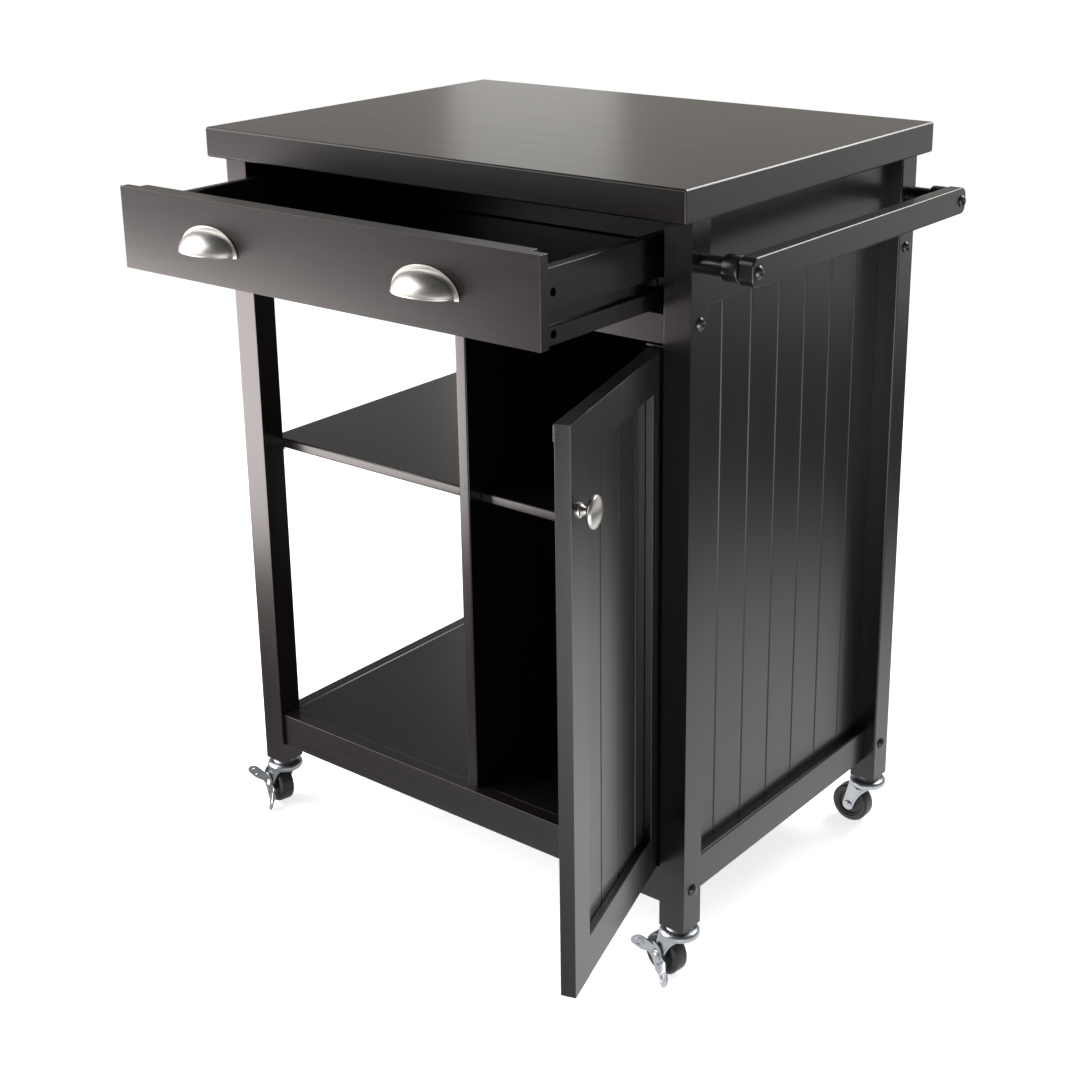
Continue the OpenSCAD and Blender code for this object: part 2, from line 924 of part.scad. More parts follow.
module drawer_screws() {
    color(zinc)
        pulled_out()
            for (x = pull_screws)
                translate([x, front_inner, front_low + pull_lift + boss_z]) {
                    rotate([90, 0, 0])
                        cylinder(d = pull_screw_d, h = front_thick + pull_screw_reach);
                    rotate([-90, 0, 0])
                        dome(screw_head_d, screw_head_h);
                }
}

// Door

module swung_open() {
    translate([pivot_x, pivot_y, 0])
        rotate([0, 0, door_open])
            translate([-pivot_x, -pivot_y, 0])
                children();
}

// Space that the panel and its grooves take in the door's frame, grown by a fit
module panel_space(fit, end_gap) {
    grow = door_panel_inset + end_gap;
    back_y = panel_y + door_panel_thick;
    block([door_left + stile_width - grow, panel_y - fit / 2, door_low + door_rail_width - grow],
        [door_right - stile_width + grow, back_y + fit / 2, door_high - stile_width + grow]);
}

module door_stile_hinge() {
    corner_x = door_right - pivot_corner;
    corner_y = door_outer + pivot_corner;
    bore = pivot_d + run_clear;
    color(wood)
        swung_open()
            difference() {
                union() {
                    block([door_right - stile_width, door_outer, door_low],
                        [corner_x, door_inner, door_high]);
                    block([corner_x - past, corner_y, door_low], [door_right, door_inner, door_high]);
                    translate([corner_x, corner_y, door_low])
                        cylinder(r = pivot_corner, h = door_high - door_low);
                }
                panel_space(panel_fit, 0);
                translate([pivot_x, pivot_y, door_low - past])
                    cylinder(d = bore, h = pivot_reach + 2 * past);
                translate([pivot_x, pivot_y, door_high - pivot_reach - past])
                    cylinder(d = bore, h = pivot_reach + 2 * past);
            }
}

module door_stile_latch() {
    screw_end = door_outer + knob_screw_reach;
    color(wood)
        swung_open()
            difference() {
                block([door_left, door_outer, door_low], [door_left + stile_width, door_inner, door_high]);
                panel_space(panel_fit, 0);
                rod_y(knob_screw_d + bore_clear, door_outer - past, screw_end, knob_x, knob_z);
            }
}

module door_rail_top() {
    color(wood)
        swung_open()
            difference() {
                block([door_left + stile_width, door_outer, door_high - stile_width],
                    [door_right - stile_width, door_inner, door_high]);
                panel_space(panel_fit, 0);
            }
}

module door_rail_bottom() {
    color(wood)
        swung_open()
            difference() {
                block([door_left + stile_width, door_outer, door_low],
                    [door_right - stile_width, door_inner, door_low + door_rail_width]);
                panel_space(panel_fit, 0);
            }
}

module door_panel() {
    first = door_left + door_groove_start;
    last = door_right - stile_width - groove_depth;
    color(wood)
        swung_open()
            difference() {
                panel_space(0, -panel_end_gap);
                for (x = [first : door_groove_pitch : last])
                    groove_z(x, panel_y, door_low, door_high);
            }
}

// Half profile of the knob: foot, cone, neck, flare, rounded rim and domed face
module knob_profile() {
    base_r = knob_foot_d / 2;
    neck_r = knob_neck_d / 2;
    rim_r = knob_rim / 2;
    base_h = 1.5;
    cone_top = base_h + knob_reach / 5;
    rim_x = knob_d / 2 - rim_r;
    rim_y = knob_reach - 2 * rim_r;
    flare_low = cone_top + knob_reach / 5;
    face_half = rim_x + rim_r * cos(45);
    face_low = rim_y + rim_r * sin(45);
    face_rise = knob_reach - face_low;
    face_r = (face_half * face_half + face_rise * face_rise) / (2 * face_rise);
    square([base_r, base_h]);
    polygon([[0, base_h], [base_r, base_h], [neck_r, cone_top], [0, cone_top]]);
    square([neck_r, rim_y]);
    polygon([[0, flare_low], [neck_r, flare_low], [rim_x, rim_y - rim_r], [rim_x, rim_y], [0, rim_y]]);
    translate([0, rim_y - rim_r])
        square([rim_x, 2 * rim_r]);
    translate([rim_x, rim_y])
        circle(r = rim_r, $fn = 32);
    intersection() {
        translate([0, knob_reach - face_r])
            circle(r = face_r, $fn = 96);
        translate([0, face_low - past])
            square([face_half, face_rise + 2 * past]);
    }
}

// Mushroom knob along -Y from the door's outer face, with its screw
module door_knob() {
    color(nickel)
        swung_open()
            translate([knob_x, door_outer, knob_z])
                rotate([90, 0, 0]) {
                    rotate_extrude()
                        knob_profile();
                    translate([0, 0, -knob_screw_reach])
                        cylinder(d = knob_screw_d, h = knob_screw_reach + past);
                }
}

module strike_plate() {
    color(zinc)
        swung_open()
            block([door_left + 1, door_inner, catch_z],
                [door_left + 1 + catch_width, door_inner + strike_thick, catch_z + catch_height]);
}

// Casters

// Place of one caster: the signs choose the post, and the wheel trails along the swivel angle
module caster_at(sx, sy, swivel) {
    translate([sx * post_mid_x, sy * post_mid_y, 0])
        rotate([0, 0, swivel])
            children();
}

// Point where the line from p touches the circle of radius r about c, on the side s
function tangent(p, c, r, s) =
    let (d = norm(p - c), a = atan2(p[1] - c[1], p[0] - c[0]) + s * acos(r / d))
    c + r * [cos(a), sin(a)];

// Side outline of a fork's cheek, from the crown down to the axle
module cheek_outline() {
    axle = [trail, axle_z];
    chord = sqrt(crown_d * crown_d / 4 - cheek_outer * cheek_outer);
    back = [-chord + cheek_inset, crown_low + past];
    front = [chord - cheek_inset, crown_low + past];
    difference() {
        union() {
            polygon([back, tangent(back, axle, boss_r, 1), axle, tangent(front, axle, boss_r, -1), front]);
            translate(axle)
                circle(r = boss_r);
        }
        translate(axle)
            circle(d = axle_d);
    }
}

// Crown with a conical shoulder, and two cheeks that hold the axle
module caster_fork() {
    neck = crown_neck_d / 2;
    shoulder = crown_low + crown_band;
    color(zinc)
        difference() {
            union() {
                translate([0, 0, crown_low])
                    cylinder(d = crown_d, h = shoulder - crown_low);
                translate([0, 0, shoulder])
                    cylinder(r1 = crown_d / 2, r2 = neck, h = crown_top - shoulder);
                for (y = [-cheek_outer, cheek_inner])
                    translate([0, y + cheek_thick, 0])
                        rotate([90, 0, 0])
                            linear_extrude(cheek_thick)
                                cheek_outline();
            }
            translate([0, 0, crown_low - past])
                cylinder(d = stem_d + run_clear, h = crown_height + 2 * past);
        }
}

// Axle with riveted heads, longer at the side that carries a brake pedal
module caster_axle(has_pedal) {
    near = has_pedal ? pedal_outer + swivel_gap : cheek_outer;
    color(zinc) {
        rod_y(axle_d, -cheek_outer, near, trail, axle_z);
        rod_y(axle_head_d, -cheek_outer - axle_head_h, -cheek_outer, trail, axle_z);
        rod_y(axle_head_d, near, near + axle_head_h, trail, axle_z);
    }
}

// Wheel with a rounded tread, recessed sides and a hub that stands a little proud
module caster_wheel() {
    r = wheel_d / 2;
    half = wheel_width / 2;
    bore_r = (axle_d + run_clear) / 2;
    color(tread)
        translate([trail, 0, axle_z])
            rotate([90, 0, 0])
                rotate_extrude($fn = 96)
                    union() {
                        translate([bore_r, -half - hub_proud])
                            square([hub_r - bore_r, 2 * (half + hub_proud)]);
                        translate([bore_r, -web_half])
                            square([r - wheel_round - bore_r, 2 * web_half]);
                        translate([rim_inner_r, -half])
                            square([r - wheel_round - rim_inner_r, 2 * half]);
                        translate([rim_inner_r, -half + wheel_round])
                            square([r - rim_inner_r, 2 * (half - wheel_round)]);
                        for (y = [-half + wheel_round, half - wheel_round])
                            translate([r - wheel_round, y])
                                circle(r = wheel_round, $fn = 32);
                    }
}

// Strip of a brake pedal's sheet from its inner face, pointing up, with a rounded end
module pedal_strip(reach) {
    end = reach - pedal_width / 2;
    translate([-pedal_width / 2, -pedal_thick, 0])
        cube([pedal_width, pedal_thick, end]);
    translate([0, 0, end])
        rotate([90, 0, 0])
            cylinder(d = pedal_width, h = pedal_thick);
}

// One lobe of a brake pedal, pointing up from the axle and bent outward
module pedal_lobe(reach) {
    root_width = pedal_width - 2 * pedal_lap;
    translate([-root_width / 2, -pedal_thick, 0])
        cube([root_width, pedal_thick, pedal_bend_start]);
    translate([0, -pedal_lap, pedal_bend_start - pedal_lap])
        rotate([pedal_bend, 0, 0])
            pedal_strip((reach - pedal_bend_start + pedal_lap) / cos(pedal_bend));
}

// Brake lever on the axle: an oval body and two lobes, outside the cheek that looks forward at rest
module brake_pedal() {
    color(zinc)
        translate([trail, 0, axle_z])
            mirror([0, 1, 0])
                difference() {
                    translate([0, -pedal_inner, 0]) {
                        rotate([0, pedal_body_lean, 0])
                            pedal_strip(pedal_body_up);
                        rotate([0, pedal_body_lean, 0])
                            mirror([0, 0, 1])
                                pedal_strip(pedal_body_down);
                        rotate([0, pedal_lean, 0])
                            pedal_lobe(pedal_up);
                        rotate([0, pedal_lean, 0])
                            mirror([0, 0, 1])
                                pedal_lobe(pedal_down);
                    }
                    rod_y(axle_d + run_clear, -pedal_outer - past, -pedal_inner + past, 0, 0);
                }
}

module caster_fork_front_left() {
    caster_at(-1, -1, swivel_front_left)
        caster_fork();
}

module caster_fork_front_right() {
    caster_at(1, -1, swivel_front_right)
        caster_fork();
}

module caster_fork_rear_left() {
    caster_at(-1, 1, swivel_rear_left)
        caster_fork();
}

module caster_fork_rear_right() {
    caster_at(1, 1, swivel_rear_right)
        caster_fork();
}

module caster_axle_front_left() {
    caster_at(-1, -1, swivel_front_left)
        caster_axle(true);
}

module caster_axle_front_right() {
    caster_at(1, -1, swivel_front_right)
        caster_axle(true);
}

module caster_axle_rear_left() {
    caster_at(-1, 1, swivel_rear_left)
        caster_axle(false);
}

module caster_axle_rear_right() {
    caster_at(1, 1, swivel_rear_right)
        caster_axle(false);
}

module caster_wheel_front_left() {
    caster_at(-1, -1, swivel_front_left)
        caster_wheel();
}

module caster_wheel_front_right() {
    caster_at(1, -1, swivel_front_right)
        caster_wheel();
}

module caster_wheel_rear_left() {
    caster_at(-1, 1, swivel_rear_left)
        caster_wheel();
}

module caster_wheel_rear_right() {
    caster_at(1, 1, swivel_rear_right)
        caster_wheel();
}

module brake_pedal_left() {
    caster_at(-1, -1, swivel_front_left)
        brake_pedal();
}

module brake_pedal_right() {
    caster_at(1, -1, swivel_front_right)
        brake_pedal();
}

worktop();
post_front_left();
post_front_right();
post_rear_left();
post_rear_right();
rail_bottom_front();
rail_bottom_rear();
rail_bottom_left();
rail_bottom_right();
rail_drawer_front();
rail_top_rear();
rail_top_left();
rail_top_right();
side_panel_right();
back_panel();
divider();
bottom_panel();
shelf_left();
shelf_cabinet();
shelf_pins();
drawer_runner_left();
drawer_runner_right();
towel_bar();
towel_bar_arm_front();
towel_bar_arm_rear();
towel_bar_bolts();
frame_bolts();
door_pivots();
magnetic_catch();
caster_stems();
drawer_front();
drawer_side_left();
drawer_side_right();
drawer_back();
drawer_bottom();
cup_pull_left();
cup_pull_right();
drawer_screws();
door_stile_hinge();
door_stile_latch();
door_rail_top();
door_rail_bottom();
door_panel();
door_knob();
strike_plate();
caster_fork_front_left();
caster_fork_front_right();
caster_fork_rear_left();
caster_fork_rear_right();
caster_axle_front_left();
caster_axle_front_right();
caster_axle_rear_left();
caster_axle_rear_right();
caster_wheel_front_left();
caster_wheel_front_right();
caster_wheel_rear_left();
caster_wheel_rear_right();
brake_pedal_left();
brake_pedal_right();
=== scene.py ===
"""Dresses the rolling kitchen cart: lacquered boards, metal fittings, casters and a plain studio."""

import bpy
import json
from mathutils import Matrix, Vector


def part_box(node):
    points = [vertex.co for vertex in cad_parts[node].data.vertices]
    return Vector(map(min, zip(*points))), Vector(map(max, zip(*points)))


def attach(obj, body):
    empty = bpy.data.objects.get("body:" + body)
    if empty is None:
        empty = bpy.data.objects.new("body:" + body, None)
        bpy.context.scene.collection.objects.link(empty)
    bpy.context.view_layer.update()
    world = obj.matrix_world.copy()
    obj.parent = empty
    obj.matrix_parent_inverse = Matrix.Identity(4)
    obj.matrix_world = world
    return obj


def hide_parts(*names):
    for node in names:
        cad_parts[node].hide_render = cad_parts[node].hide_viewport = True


bl_info = {
    "name": "Rolling Kitchen Cart",
    "version": (1, 0, 0),
    "blender": (4, 5, 0),
    "location": "3D View > Sidebar > Cart",
    "description": "Boards, fittings and casters of a rolling kitchen cart, with a plain studio round it",
    "category": "Object",
}

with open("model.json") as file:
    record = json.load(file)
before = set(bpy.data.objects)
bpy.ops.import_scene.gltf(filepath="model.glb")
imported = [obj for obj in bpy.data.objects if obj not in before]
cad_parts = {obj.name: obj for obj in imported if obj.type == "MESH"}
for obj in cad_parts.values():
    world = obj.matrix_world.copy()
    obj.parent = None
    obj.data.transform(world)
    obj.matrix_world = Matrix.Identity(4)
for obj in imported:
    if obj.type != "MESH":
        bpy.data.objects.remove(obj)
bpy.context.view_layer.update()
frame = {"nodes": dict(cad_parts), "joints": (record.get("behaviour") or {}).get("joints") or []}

import json
import math

import bpy
from mathutils import Matrix, Vector

MM = 0.001
WELD = 0.01 * MM
CAD_WELD = 0.005 * MM

CORNERS = ("front_left", "front_right", "rear_left", "rear_right")
JOINTS = {joint["name"]: joint for joint in frame["joints"]}


# Settings that a user would change


class CartWoodSettings(bpy.types.PropertyGroup):
    stain: bpy.props.FloatVectorProperty(
        name="Stain", description="Colour of the lacquered wood between its grain lines",
        default=(0.0080, 0.0063, 0.0060), subtype="COLOR", min=0, max=1)
    stain_dark: bpy.props.FloatVectorProperty(
        name="Grain", description="Colour of the dark grain lines",
        default=(0.0040, 0.0032, 0.0031), subtype="COLOR", min=0, max=1)
    edge: bpy.props.FloatProperty(
        name="Board edge", description="Rounding of the boards' edges",
        default=2.0 * MM, unit="LENGTH", min=0.2 * MM, max=3 * MM)
    top_edge: bpy.props.FloatProperty(
        name="Worktop edge", description="Rounding of the worktop's edges",
        default=2.2 * MM, unit="LENGTH", min=0.2 * MM, max=5 * MM)
    groove_edge: bpy.props.FloatProperty(
        name="Groove edge", description="Rounding of the edges of the grooved boards",
        default=0.4 * MM, unit="LENGTH", min=0.1 * MM, max=1 * MM)
    gloss: bpy.props.FloatProperty(
        name="Lacquer roughness", description="Roughness of the clear lacquer",
        default=0.24, min=0.02, max=1)


class CartMetalSettings(bpy.types.PropertyGroup):
    nickel: bpy.props.FloatVectorProperty(
        name="Satin nickel", description="Colour of the cup pulls and the knob",
        default=(0.62, 0.60, 0.57), subtype="COLOR", min=0, max=1)
    zinc: bpy.props.FloatVectorProperty(
        name="Zinc", description="Colour of the casters' pressed steel",
        default=(0.45, 0.475, 0.505), subtype="COLOR", min=0, max=1)
    bolt: bpy.props.FloatVectorProperty(
        name="Bolts", description="Colour of the domed bolt heads",
        default=(0.085, 0.085, 0.09), subtype="COLOR", min=0, max=1)
    tread: bpy.props.FloatVectorProperty(
        name="Tread", description="Colour of the wheels' treads",
        default=(0.016, 0.016, 0.017), subtype="COLOR", min=0, max=1)


class CartFittingSettings(bpy.types.PropertyGroup):
    door_angle: bpy.props.FloatProperty(
        name="Door angle", description="Angle that the door stands open at rest",
        default=math.radians(107.2), subtype="ANGLE", min=0, max=math.radians(115))
    pull_wall: bpy.props.FloatProperty(
        name="Pull wall", description="Wall of the cup pulls",
        default=1.6 * MM, unit="LENGTH", min=0.5 * MM, max=3 * MM)
    pull_flange: bpy.props.FloatProperty(
        name="Pull flange", description="Width of the cup pulls' flanges beyond their domes",
        default=4.5 * MM, unit="LENGTH", min=1 * MM, max=10 * MM)
    pull_foot: bpy.props.FloatProperty(
        name="Pull foot", description="Length of the flanges' feet below the domes' lips",
        default=3.0 * MM, unit="LENGTH", min=0, max=8 * MM)
    knob_diameter: bpy.props.FloatProperty(
        name="Knob diameter", description="Diameter of the knob",
        default=33 * MM, unit="LENGTH", min=20 * MM, max=45 * MM)
    knob_reach: bpy.props.FloatProperty(
        name="Knob reach", description="Distance that the knob stands out from the door",
        default=21 * MM, unit="LENGTH", min=15 * MM, max=40 * MM)
    pedal_lean: bpy.props.FloatProperty(
        name="Pedal lean", description="Lean of the raised brake pedals' lobes from upright",
        default=math.radians(50), subtype="ANGLE", min=0, max=math.radians(70))


class CartStageSettings(bpy.types.PropertyGroup):
    floor_colour: bpy.props.FloatVectorProperty(
        name="Floor", description="Colour of the floor",
        default=(0.80, 0.80, 0.80), subtype="COLOR", min=0, max=1)
    floor_lift: bpy.props.FloatProperty(
        name="Floor lift", description="Lift of the floor toward white where the eye meets it",
        default=0.72, min=0, max=1)
    # The painted light pool: a glowing floor patch that only reflections see, placed for the right side to
    # reflect.
    pool_at: bpy.props.FloatVectorProperty(
        name="Light pool", description="Place of the bright patch of floor that the right side reflects",
        default=(0.45, 0.25), size=2, subtype="XYZ", unit="LENGTH")
    world_level: bpy.props.FloatProperty(
        name="World", description="Level of the even light from all round", default=0.45, min=0, max=2)
    camera_at: bpy.props.FloatVectorProperty(
        name="Camera", description="Place of the camera",
        default=(1.3117, -1.6703, 1.2395), subtype="XYZ", unit="LENGTH")
    camera_azimuth: bpy.props.FloatProperty(
        name="Azimuth", description="Camera's direction round the cart, from the front toward the right",
        default=math.radians(39.07), subtype="ANGLE")
    camera_elevation: bpy.props.FloatProperty(
        name="Elevation", description="Angle of the camera's view below the horizon",
        default=math.radians(18.43), subtype="ANGLE")
    camera_roll: bpy.props.FloatProperty(
        name="Roll", description="Turn of the camera about its view",
        default=math.radians(0.84), subtype="ANGLE")
    lens: bpy.props.FloatProperty(
        name="Lens", description="Focal length on a 36 mm sensor",
        default=60.52, unit="CAMERA", min=20, max=200)
    shift: bpy.props.FloatVectorProperty(
        name="Shift", description="Sideways and vertical shift that the photograph's framing needs",
        default=(-0.0012, -0.100), size=2)


SETTINGS = {
    "cart_wood": CartWoodSettings,
    "cart_metal": CartMetalSettings,
    "cart_fittings": CartFittingSettings,
    "cart_stage": CartStageSettings,
}


# Small helpers for selecting, placing and finishing a piece


def deselect():
    bpy.ops.object.select_all(action="DESELECT")


def take(piece):
    """Makes piece the only selected object, and the active one."""
    deselect()
    piece.select_set(True)
    bpy.context.view_layer.objects.active = piece


def edit(piece):
    take(piece)
    bpy.ops.object.mode_set(mode="EDIT")
    bpy.ops.mesh.select_mode(type="VERT")
    bpy.ops.mesh.select_all(action="SELECT")


def leave_edit():
    bpy.ops.object.mode_set(mode="OBJECT")


def settle(piece):
    """Bakes the place, turn and scale of the piece into its mesh."""
    take(piece)
    bpy.ops.object.transform_apply(location=True, rotation=True, scale=True)


def smooth(piece, angle=35):
    take(piece)
    bpy.ops.object.shade_smooth_by_angle(angle=math.radians(angle))


def apply_modifier(piece, kind, **values):
    take(piece)
    modifier = piece.modifiers.new(kind.title(), kind)
    for key, value in values.items():
        setattr(modifier, key, value)
    bpy.ops.object.modifier_apply(modifier=modifier.name)


def even_shading(piece):
    """Smooth rounded edges between faces that stay flat."""
    smooth(piece)
    apply_modifier(piece, "WEIGHTED_NORMAL", weight=80, keep_sharp=True)


def round_edges(piece, width, segments=2, angle=30):
    apply_modifier(piece, "BEVEL", width=width, segments=segments, limit_method="ANGLE",
                   angle_limit=math.radians(angle), miter_outer="MITER_ARC")
    even_shading(piece)


def recalculate(piece):
    edit(piece)
    bpy.ops.mesh.remove_doubles(threshold=WELD)
    bpy.ops.mesh.normals_make_consistent(inside=False)
    leave_edit()


def coat(piece, material):
    piece.data.materials.clear()
    piece.data.materials.append(material)


def join(name, pieces):
    """Joins the pieces into one and names it."""
    deselect()
    for piece in pieces:
        piece.select_set(True)
    bpy.context.view_layer.objects.active = pieces[0]
    bpy.ops.object.join()
    pieces[0].name = pieces[0].data.name = name
    return pieces[0]


def start_line(name, points):
    """Draws a line of edges through the points, extruding a single corner from each to the next."""
    bpy.ops.mesh.primitive_plane_add(size=MM, location=points[0])
    piece = bpy.context.active_object
    piece.name = piece.data.name = name
    settle(piece)
    edit(piece)
    bpy.ops.mesh.merge(type="CENTER")
    for before, after in zip(points, points[1:]):
        step = Vector(after) - Vector(before)
        bpy.ops.mesh.extrude_region_move(TRANSFORM_OT_translate={"value": step})
    leave_edit()
    return piece


def arc(centre, radius, start, end, count):
    """Points of an arc in the plane of two coordinates, angles in degrees."""
    angles = [math.radians(start + (end - start) * i / count) for i in range(count + 1)]
    return [(centre[0] + radius * math.cos(a), centre[1] + radius * math.sin(a)) for a in angles]


def turned(name, outline, steps=64):
    """Spins an outline of (radius, height) points about Z into a closed solid."""
    piece = start_line(name, [(r, 0, z) for r, z in outline])
    edit(piece)
    bpy.ops.mesh.spin(steps=steps, angle=math.tau, center=(0, 0, 0), axis=(0, 0, 1))
    leave_edit()
    recalculate(piece)
    return piece


def dome_radius(half, rise):
    """Radius of the circle through a chord of that half length and rise."""
    return (half * half + rise * rise) / (2 * rise)


def sheet_plate(name, outline, thickness, y):
    """Flat plate with its outline in the X and Z plane, from y toward -Y."""
    points = [(x, y, z) for x, z in outline]
    plate = start_line(name, points + points[:1])
    edit(plate)
    bpy.ops.mesh.remove_doubles(threshold=WELD)
    bpy.ops.mesh.edge_face_add()
    bpy.ops.mesh.extrude_region_move(TRANSFORM_OT_translate={"value": (0, -thickness, 0)})
    leave_edit()
    recalculate(plate)
    return plate


def edit_faces(piece, keep):
    """Enters edit mode with only the wanted faces selected."""
    take(piece)
    bpy.ops.object.mode_set(mode="EDIT")
    bpy.ops.mesh.select_mode(type="FACE")
    bpy.ops.mesh.select_all(action="DESELECT")
    bpy.ops.object.mode_set(mode="OBJECT")
    for face in piece.data.polygons:
        face.select = keep(face)
    bpy.ops.object.mode_set(mode="EDIT")


def side_middle(low, high, x):
    """Middle of a box's side at x."""
    return (x, (low[1] + high[1]) / 2, (low[2] + high[2]) / 2)


def place(piece, matrix):
    """Moves the mesh of a piece drawn round the origin to its place."""
    piece.matrix_world = matrix
    settle(piece)


def copy_to(piece, name, matrix):
    """Copy of a piece with its own mesh, moved to its place."""
    twin = bpy.data.objects.new(name, piece.data.copy())
    twin.data.name = name
    bpy.context.scene.collection.objects.link(twin)
    place(twin, matrix)
    return twin


def drop(piece):
    mesh = piece.data
    bpy.data.objects.remove(piece)
    bpy.data.meshes.remove(mesh)


def facing(origin, direction, up=(0, 0, 1)):
    """Matrix that stands a piece drawn along +Z at origin, looking along direction."""
    z = Vector(direction).normalized()
    x = Vector(up).cross(z).normalized()
    y = z.cross(x)
    return Matrix.Translation(Vector(origin)) @ Matrix((x, y, z)).transposed().to_4x4()


def weigh_edges(piece, grain):
    """Weighs the sharp edges for breaking: fully along the grain, less across it, least round holes."""
    least, across_grain, hole_edge = 0.12, 0.2, 5 * MM
    edit(piece)
    bpy.ops.mesh.select_mode(type="EDGE")
    bpy.ops.mesh.select_all(action="DESELECT")
    bpy.ops.mesh.edges_select_sharp(sharpness=math.radians(30))
    leave_edit()
    corners = piece.data.vertices
    weights = piece.data.attributes.new("bevel_weight_edge", "FLOAT", "EDGE")
    for edge in piece.data.edges:
        if edge.select:
            run = corners[edge.vertices[1]].co - corners[edge.vertices[0]].co
            along = grain is None or abs(run[grain]) > 0.9 * run.length
            weight = 1 if along else across_grain
            weights.data[edge.index].value = least if run.length < hole_edge else weight


def merged_copy(node, name):
    """Copy of a CAD node with its loose triangles merged, left in edit mode with all selected."""
    copy = bpy.data.objects.new(name, frame["nodes"][node].data.copy())
    copy.data.name = copy.name
    bpy.context.scene.collection.objects.link(copy)
    edit(copy)
    bpy.ops.mesh.remove_doubles(threshold=CAD_WELD)
    return copy


def whole_faced_copy(node):
    """Copy of a CAD node with its flat faces whole."""
    copy = merged_copy(node, node + "_board")
    bpy.ops.mesh.dissolve_limited(angle_limit=math.radians(1))
    leave_edit()
    return copy


def board(node, grain, edge, free=False):
    """Lacquered board in the shape of its CAD node, its edges broken: all of them where it is free."""
    piece = whole_faced_copy(node)
    weigh_edges(piece, None if free else grain)
    apply_modifier(piece, "BEVEL", width=edge, segments=4, profile=0.3, limit_method="WEIGHT",
                   miter_outer="MITER_ARC")
    even_shading(piece)
    coat(piece, wood_along(grain))
    return piece


def fitting(node, material, edge):
    """Small hardware in the shape of its CAD node, with its edges rounded."""
    piece = whole_faced_copy(node)
    round_edges(piece, edge)
    coat(piece, material)
    return piece


def finish_piece(piece, body, node):
    """Hangs the piece on the body that carries it and hides the CAD node that it replaces."""
    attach(piece, body)
    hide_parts(node)


# Materials


class Nodes:
    """Short way to add and link the nodes of one tree."""

    def __init__(self, tree):
        self.tree = tree
        self.shader = tree.nodes.get("Principled BSDF")

    def add(self, kind, **values):
        node = self.tree.nodes.new(kind)
        for key, value in values.items():
            if key in node.inputs:
                node.inputs[key].default_value = value
            else:
                setattr(node, key, value)
        return node

    def link(self, source, output, target, socket):
        self.tree.links.new(source.outputs[output], target.inputs[socket])

    def ramp(self, source, output, stops):
        node = self.add("ShaderNodeValToRGB")
        elements = node.color_ramp.elements
        while len(elements) < len(stops):
            elements.new(0.5)
        for element, (position, colour) in zip(elements, stops):
            element.position = position
            element.color = (*colour, 1)
        self.link(source, output, node, "Fac")
        return node

    def coords(self, scale=(1, 1, 1)):
        """The piece's own coordinates, stretched by the scale."""
        mapping = self.add("ShaderNodeMapping", Scale=scale)
        self.link(self.add("ShaderNodeTexCoord"), "Object", mapping, "Vector")
        return mapping

    def pattern(self, coords, kind="Noise", **values):
        """Texture of that kind over the coordinates."""
        node = self.add("ShaderNodeTex" + kind, **values)
        self.link(coords, "Vector", node, "Vector")
        return node

    def tint(self, source, stops):
        self.link(self.ramp(source, "Fac", stops), "Color", self.shader, "Base Color")

    def spread(self, source, output, low, high):
        """Maps a 0 to 1 pattern onto a range of roughness."""
        node = self.add("ShaderNodeMapRange")
        node.inputs["To Min"].default_value = low
        node.inputs["To Max"].default_value = high
        self.link(source, output, node, "Value")
        self.link(node, "Result", self.shader, "Roughness")

    def bump(self, source, strength, distance):
        node = self.add("ShaderNodeBump", Strength=strength, Distance=distance)
        self.link(source, "Fac", node, "Height")
        self.link(node, "Normal", self.shader, "Normal")
        return node

    def fix(self, **values):
        """Sets plain values on the shader, each socket's name written with low lines for spaces."""
        for name, value in values.items():
            self.shader.inputs[name.replace("_", " ")].default_value = value


def times(colour, share):
    return [c * share for c in colour]


def material(name, build, *args):
    """The material of that name, built the first time it is asked for."""
    if name in bpy.data.materials:
        return bpy.data.materials[name]
    made = bpy.data.materials.new(name)
    made.use_nodes = True
    build(Nodes(made.node_tree), *args)
    return made


def build_wood(nodes, grain):
    """Espresso-stained wood under satin lacquer, its grain along axis 0, 1 or 2."""
    wood = bpy.context.scene.cart_wood
    wide, narrow = [150.0] * 3, [900.0] * 3
    wide[grain], narrow[grain] = 5.0, 25.0
    figure = nodes.pattern(nodes.coords(wide), Scale=0.35, Detail=6.0, Roughness=0.62, Distortion=0.6)
    pores = nodes.pattern(nodes.coords(narrow), Scale=0.5, Detail=4.0, Roughness=0.7)
    tone = nodes.ramp(figure, "Fac", [(0.32, wood.stain_dark), (0.52, wood.stain),
                                      (0.72, times(wood.stain, 1.45))])
    line = nodes.ramp(pores, "Fac", [(0.36, (0.55, 0.55, 0.55)), (0.50, (1, 1, 1))])
    mix = nodes.add("ShaderNodeMix", data_type="RGBA", blend_type="MULTIPLY")
    mix.inputs["Factor"].default_value = 1
    nodes.link(tone, "Color", mix, "A")
    nodes.link(line, "Color", mix, "B")
    nodes.link(mix, "Result", nodes.shader, "Base Color")
    nodes.spread(figure, "Fac", 0.40, 0.52)
    skin = nodes.bump(pores, 0.06, 0.10 * MM)
    nodes.link(skin, "Normal", nodes.shader, "Coat Normal")
    nodes.fix(Specular_IOR_Level=0.16, Specular_Tint=(1, 0.86, 0.82, 1), Coat_Weight=0.76,
              Coat_Roughness=wood.gloss, Coat_IOR=1.5)


def wood_along(axis):
    return material("espresso wood " + "XYZ"[axis], build_wood, axis)


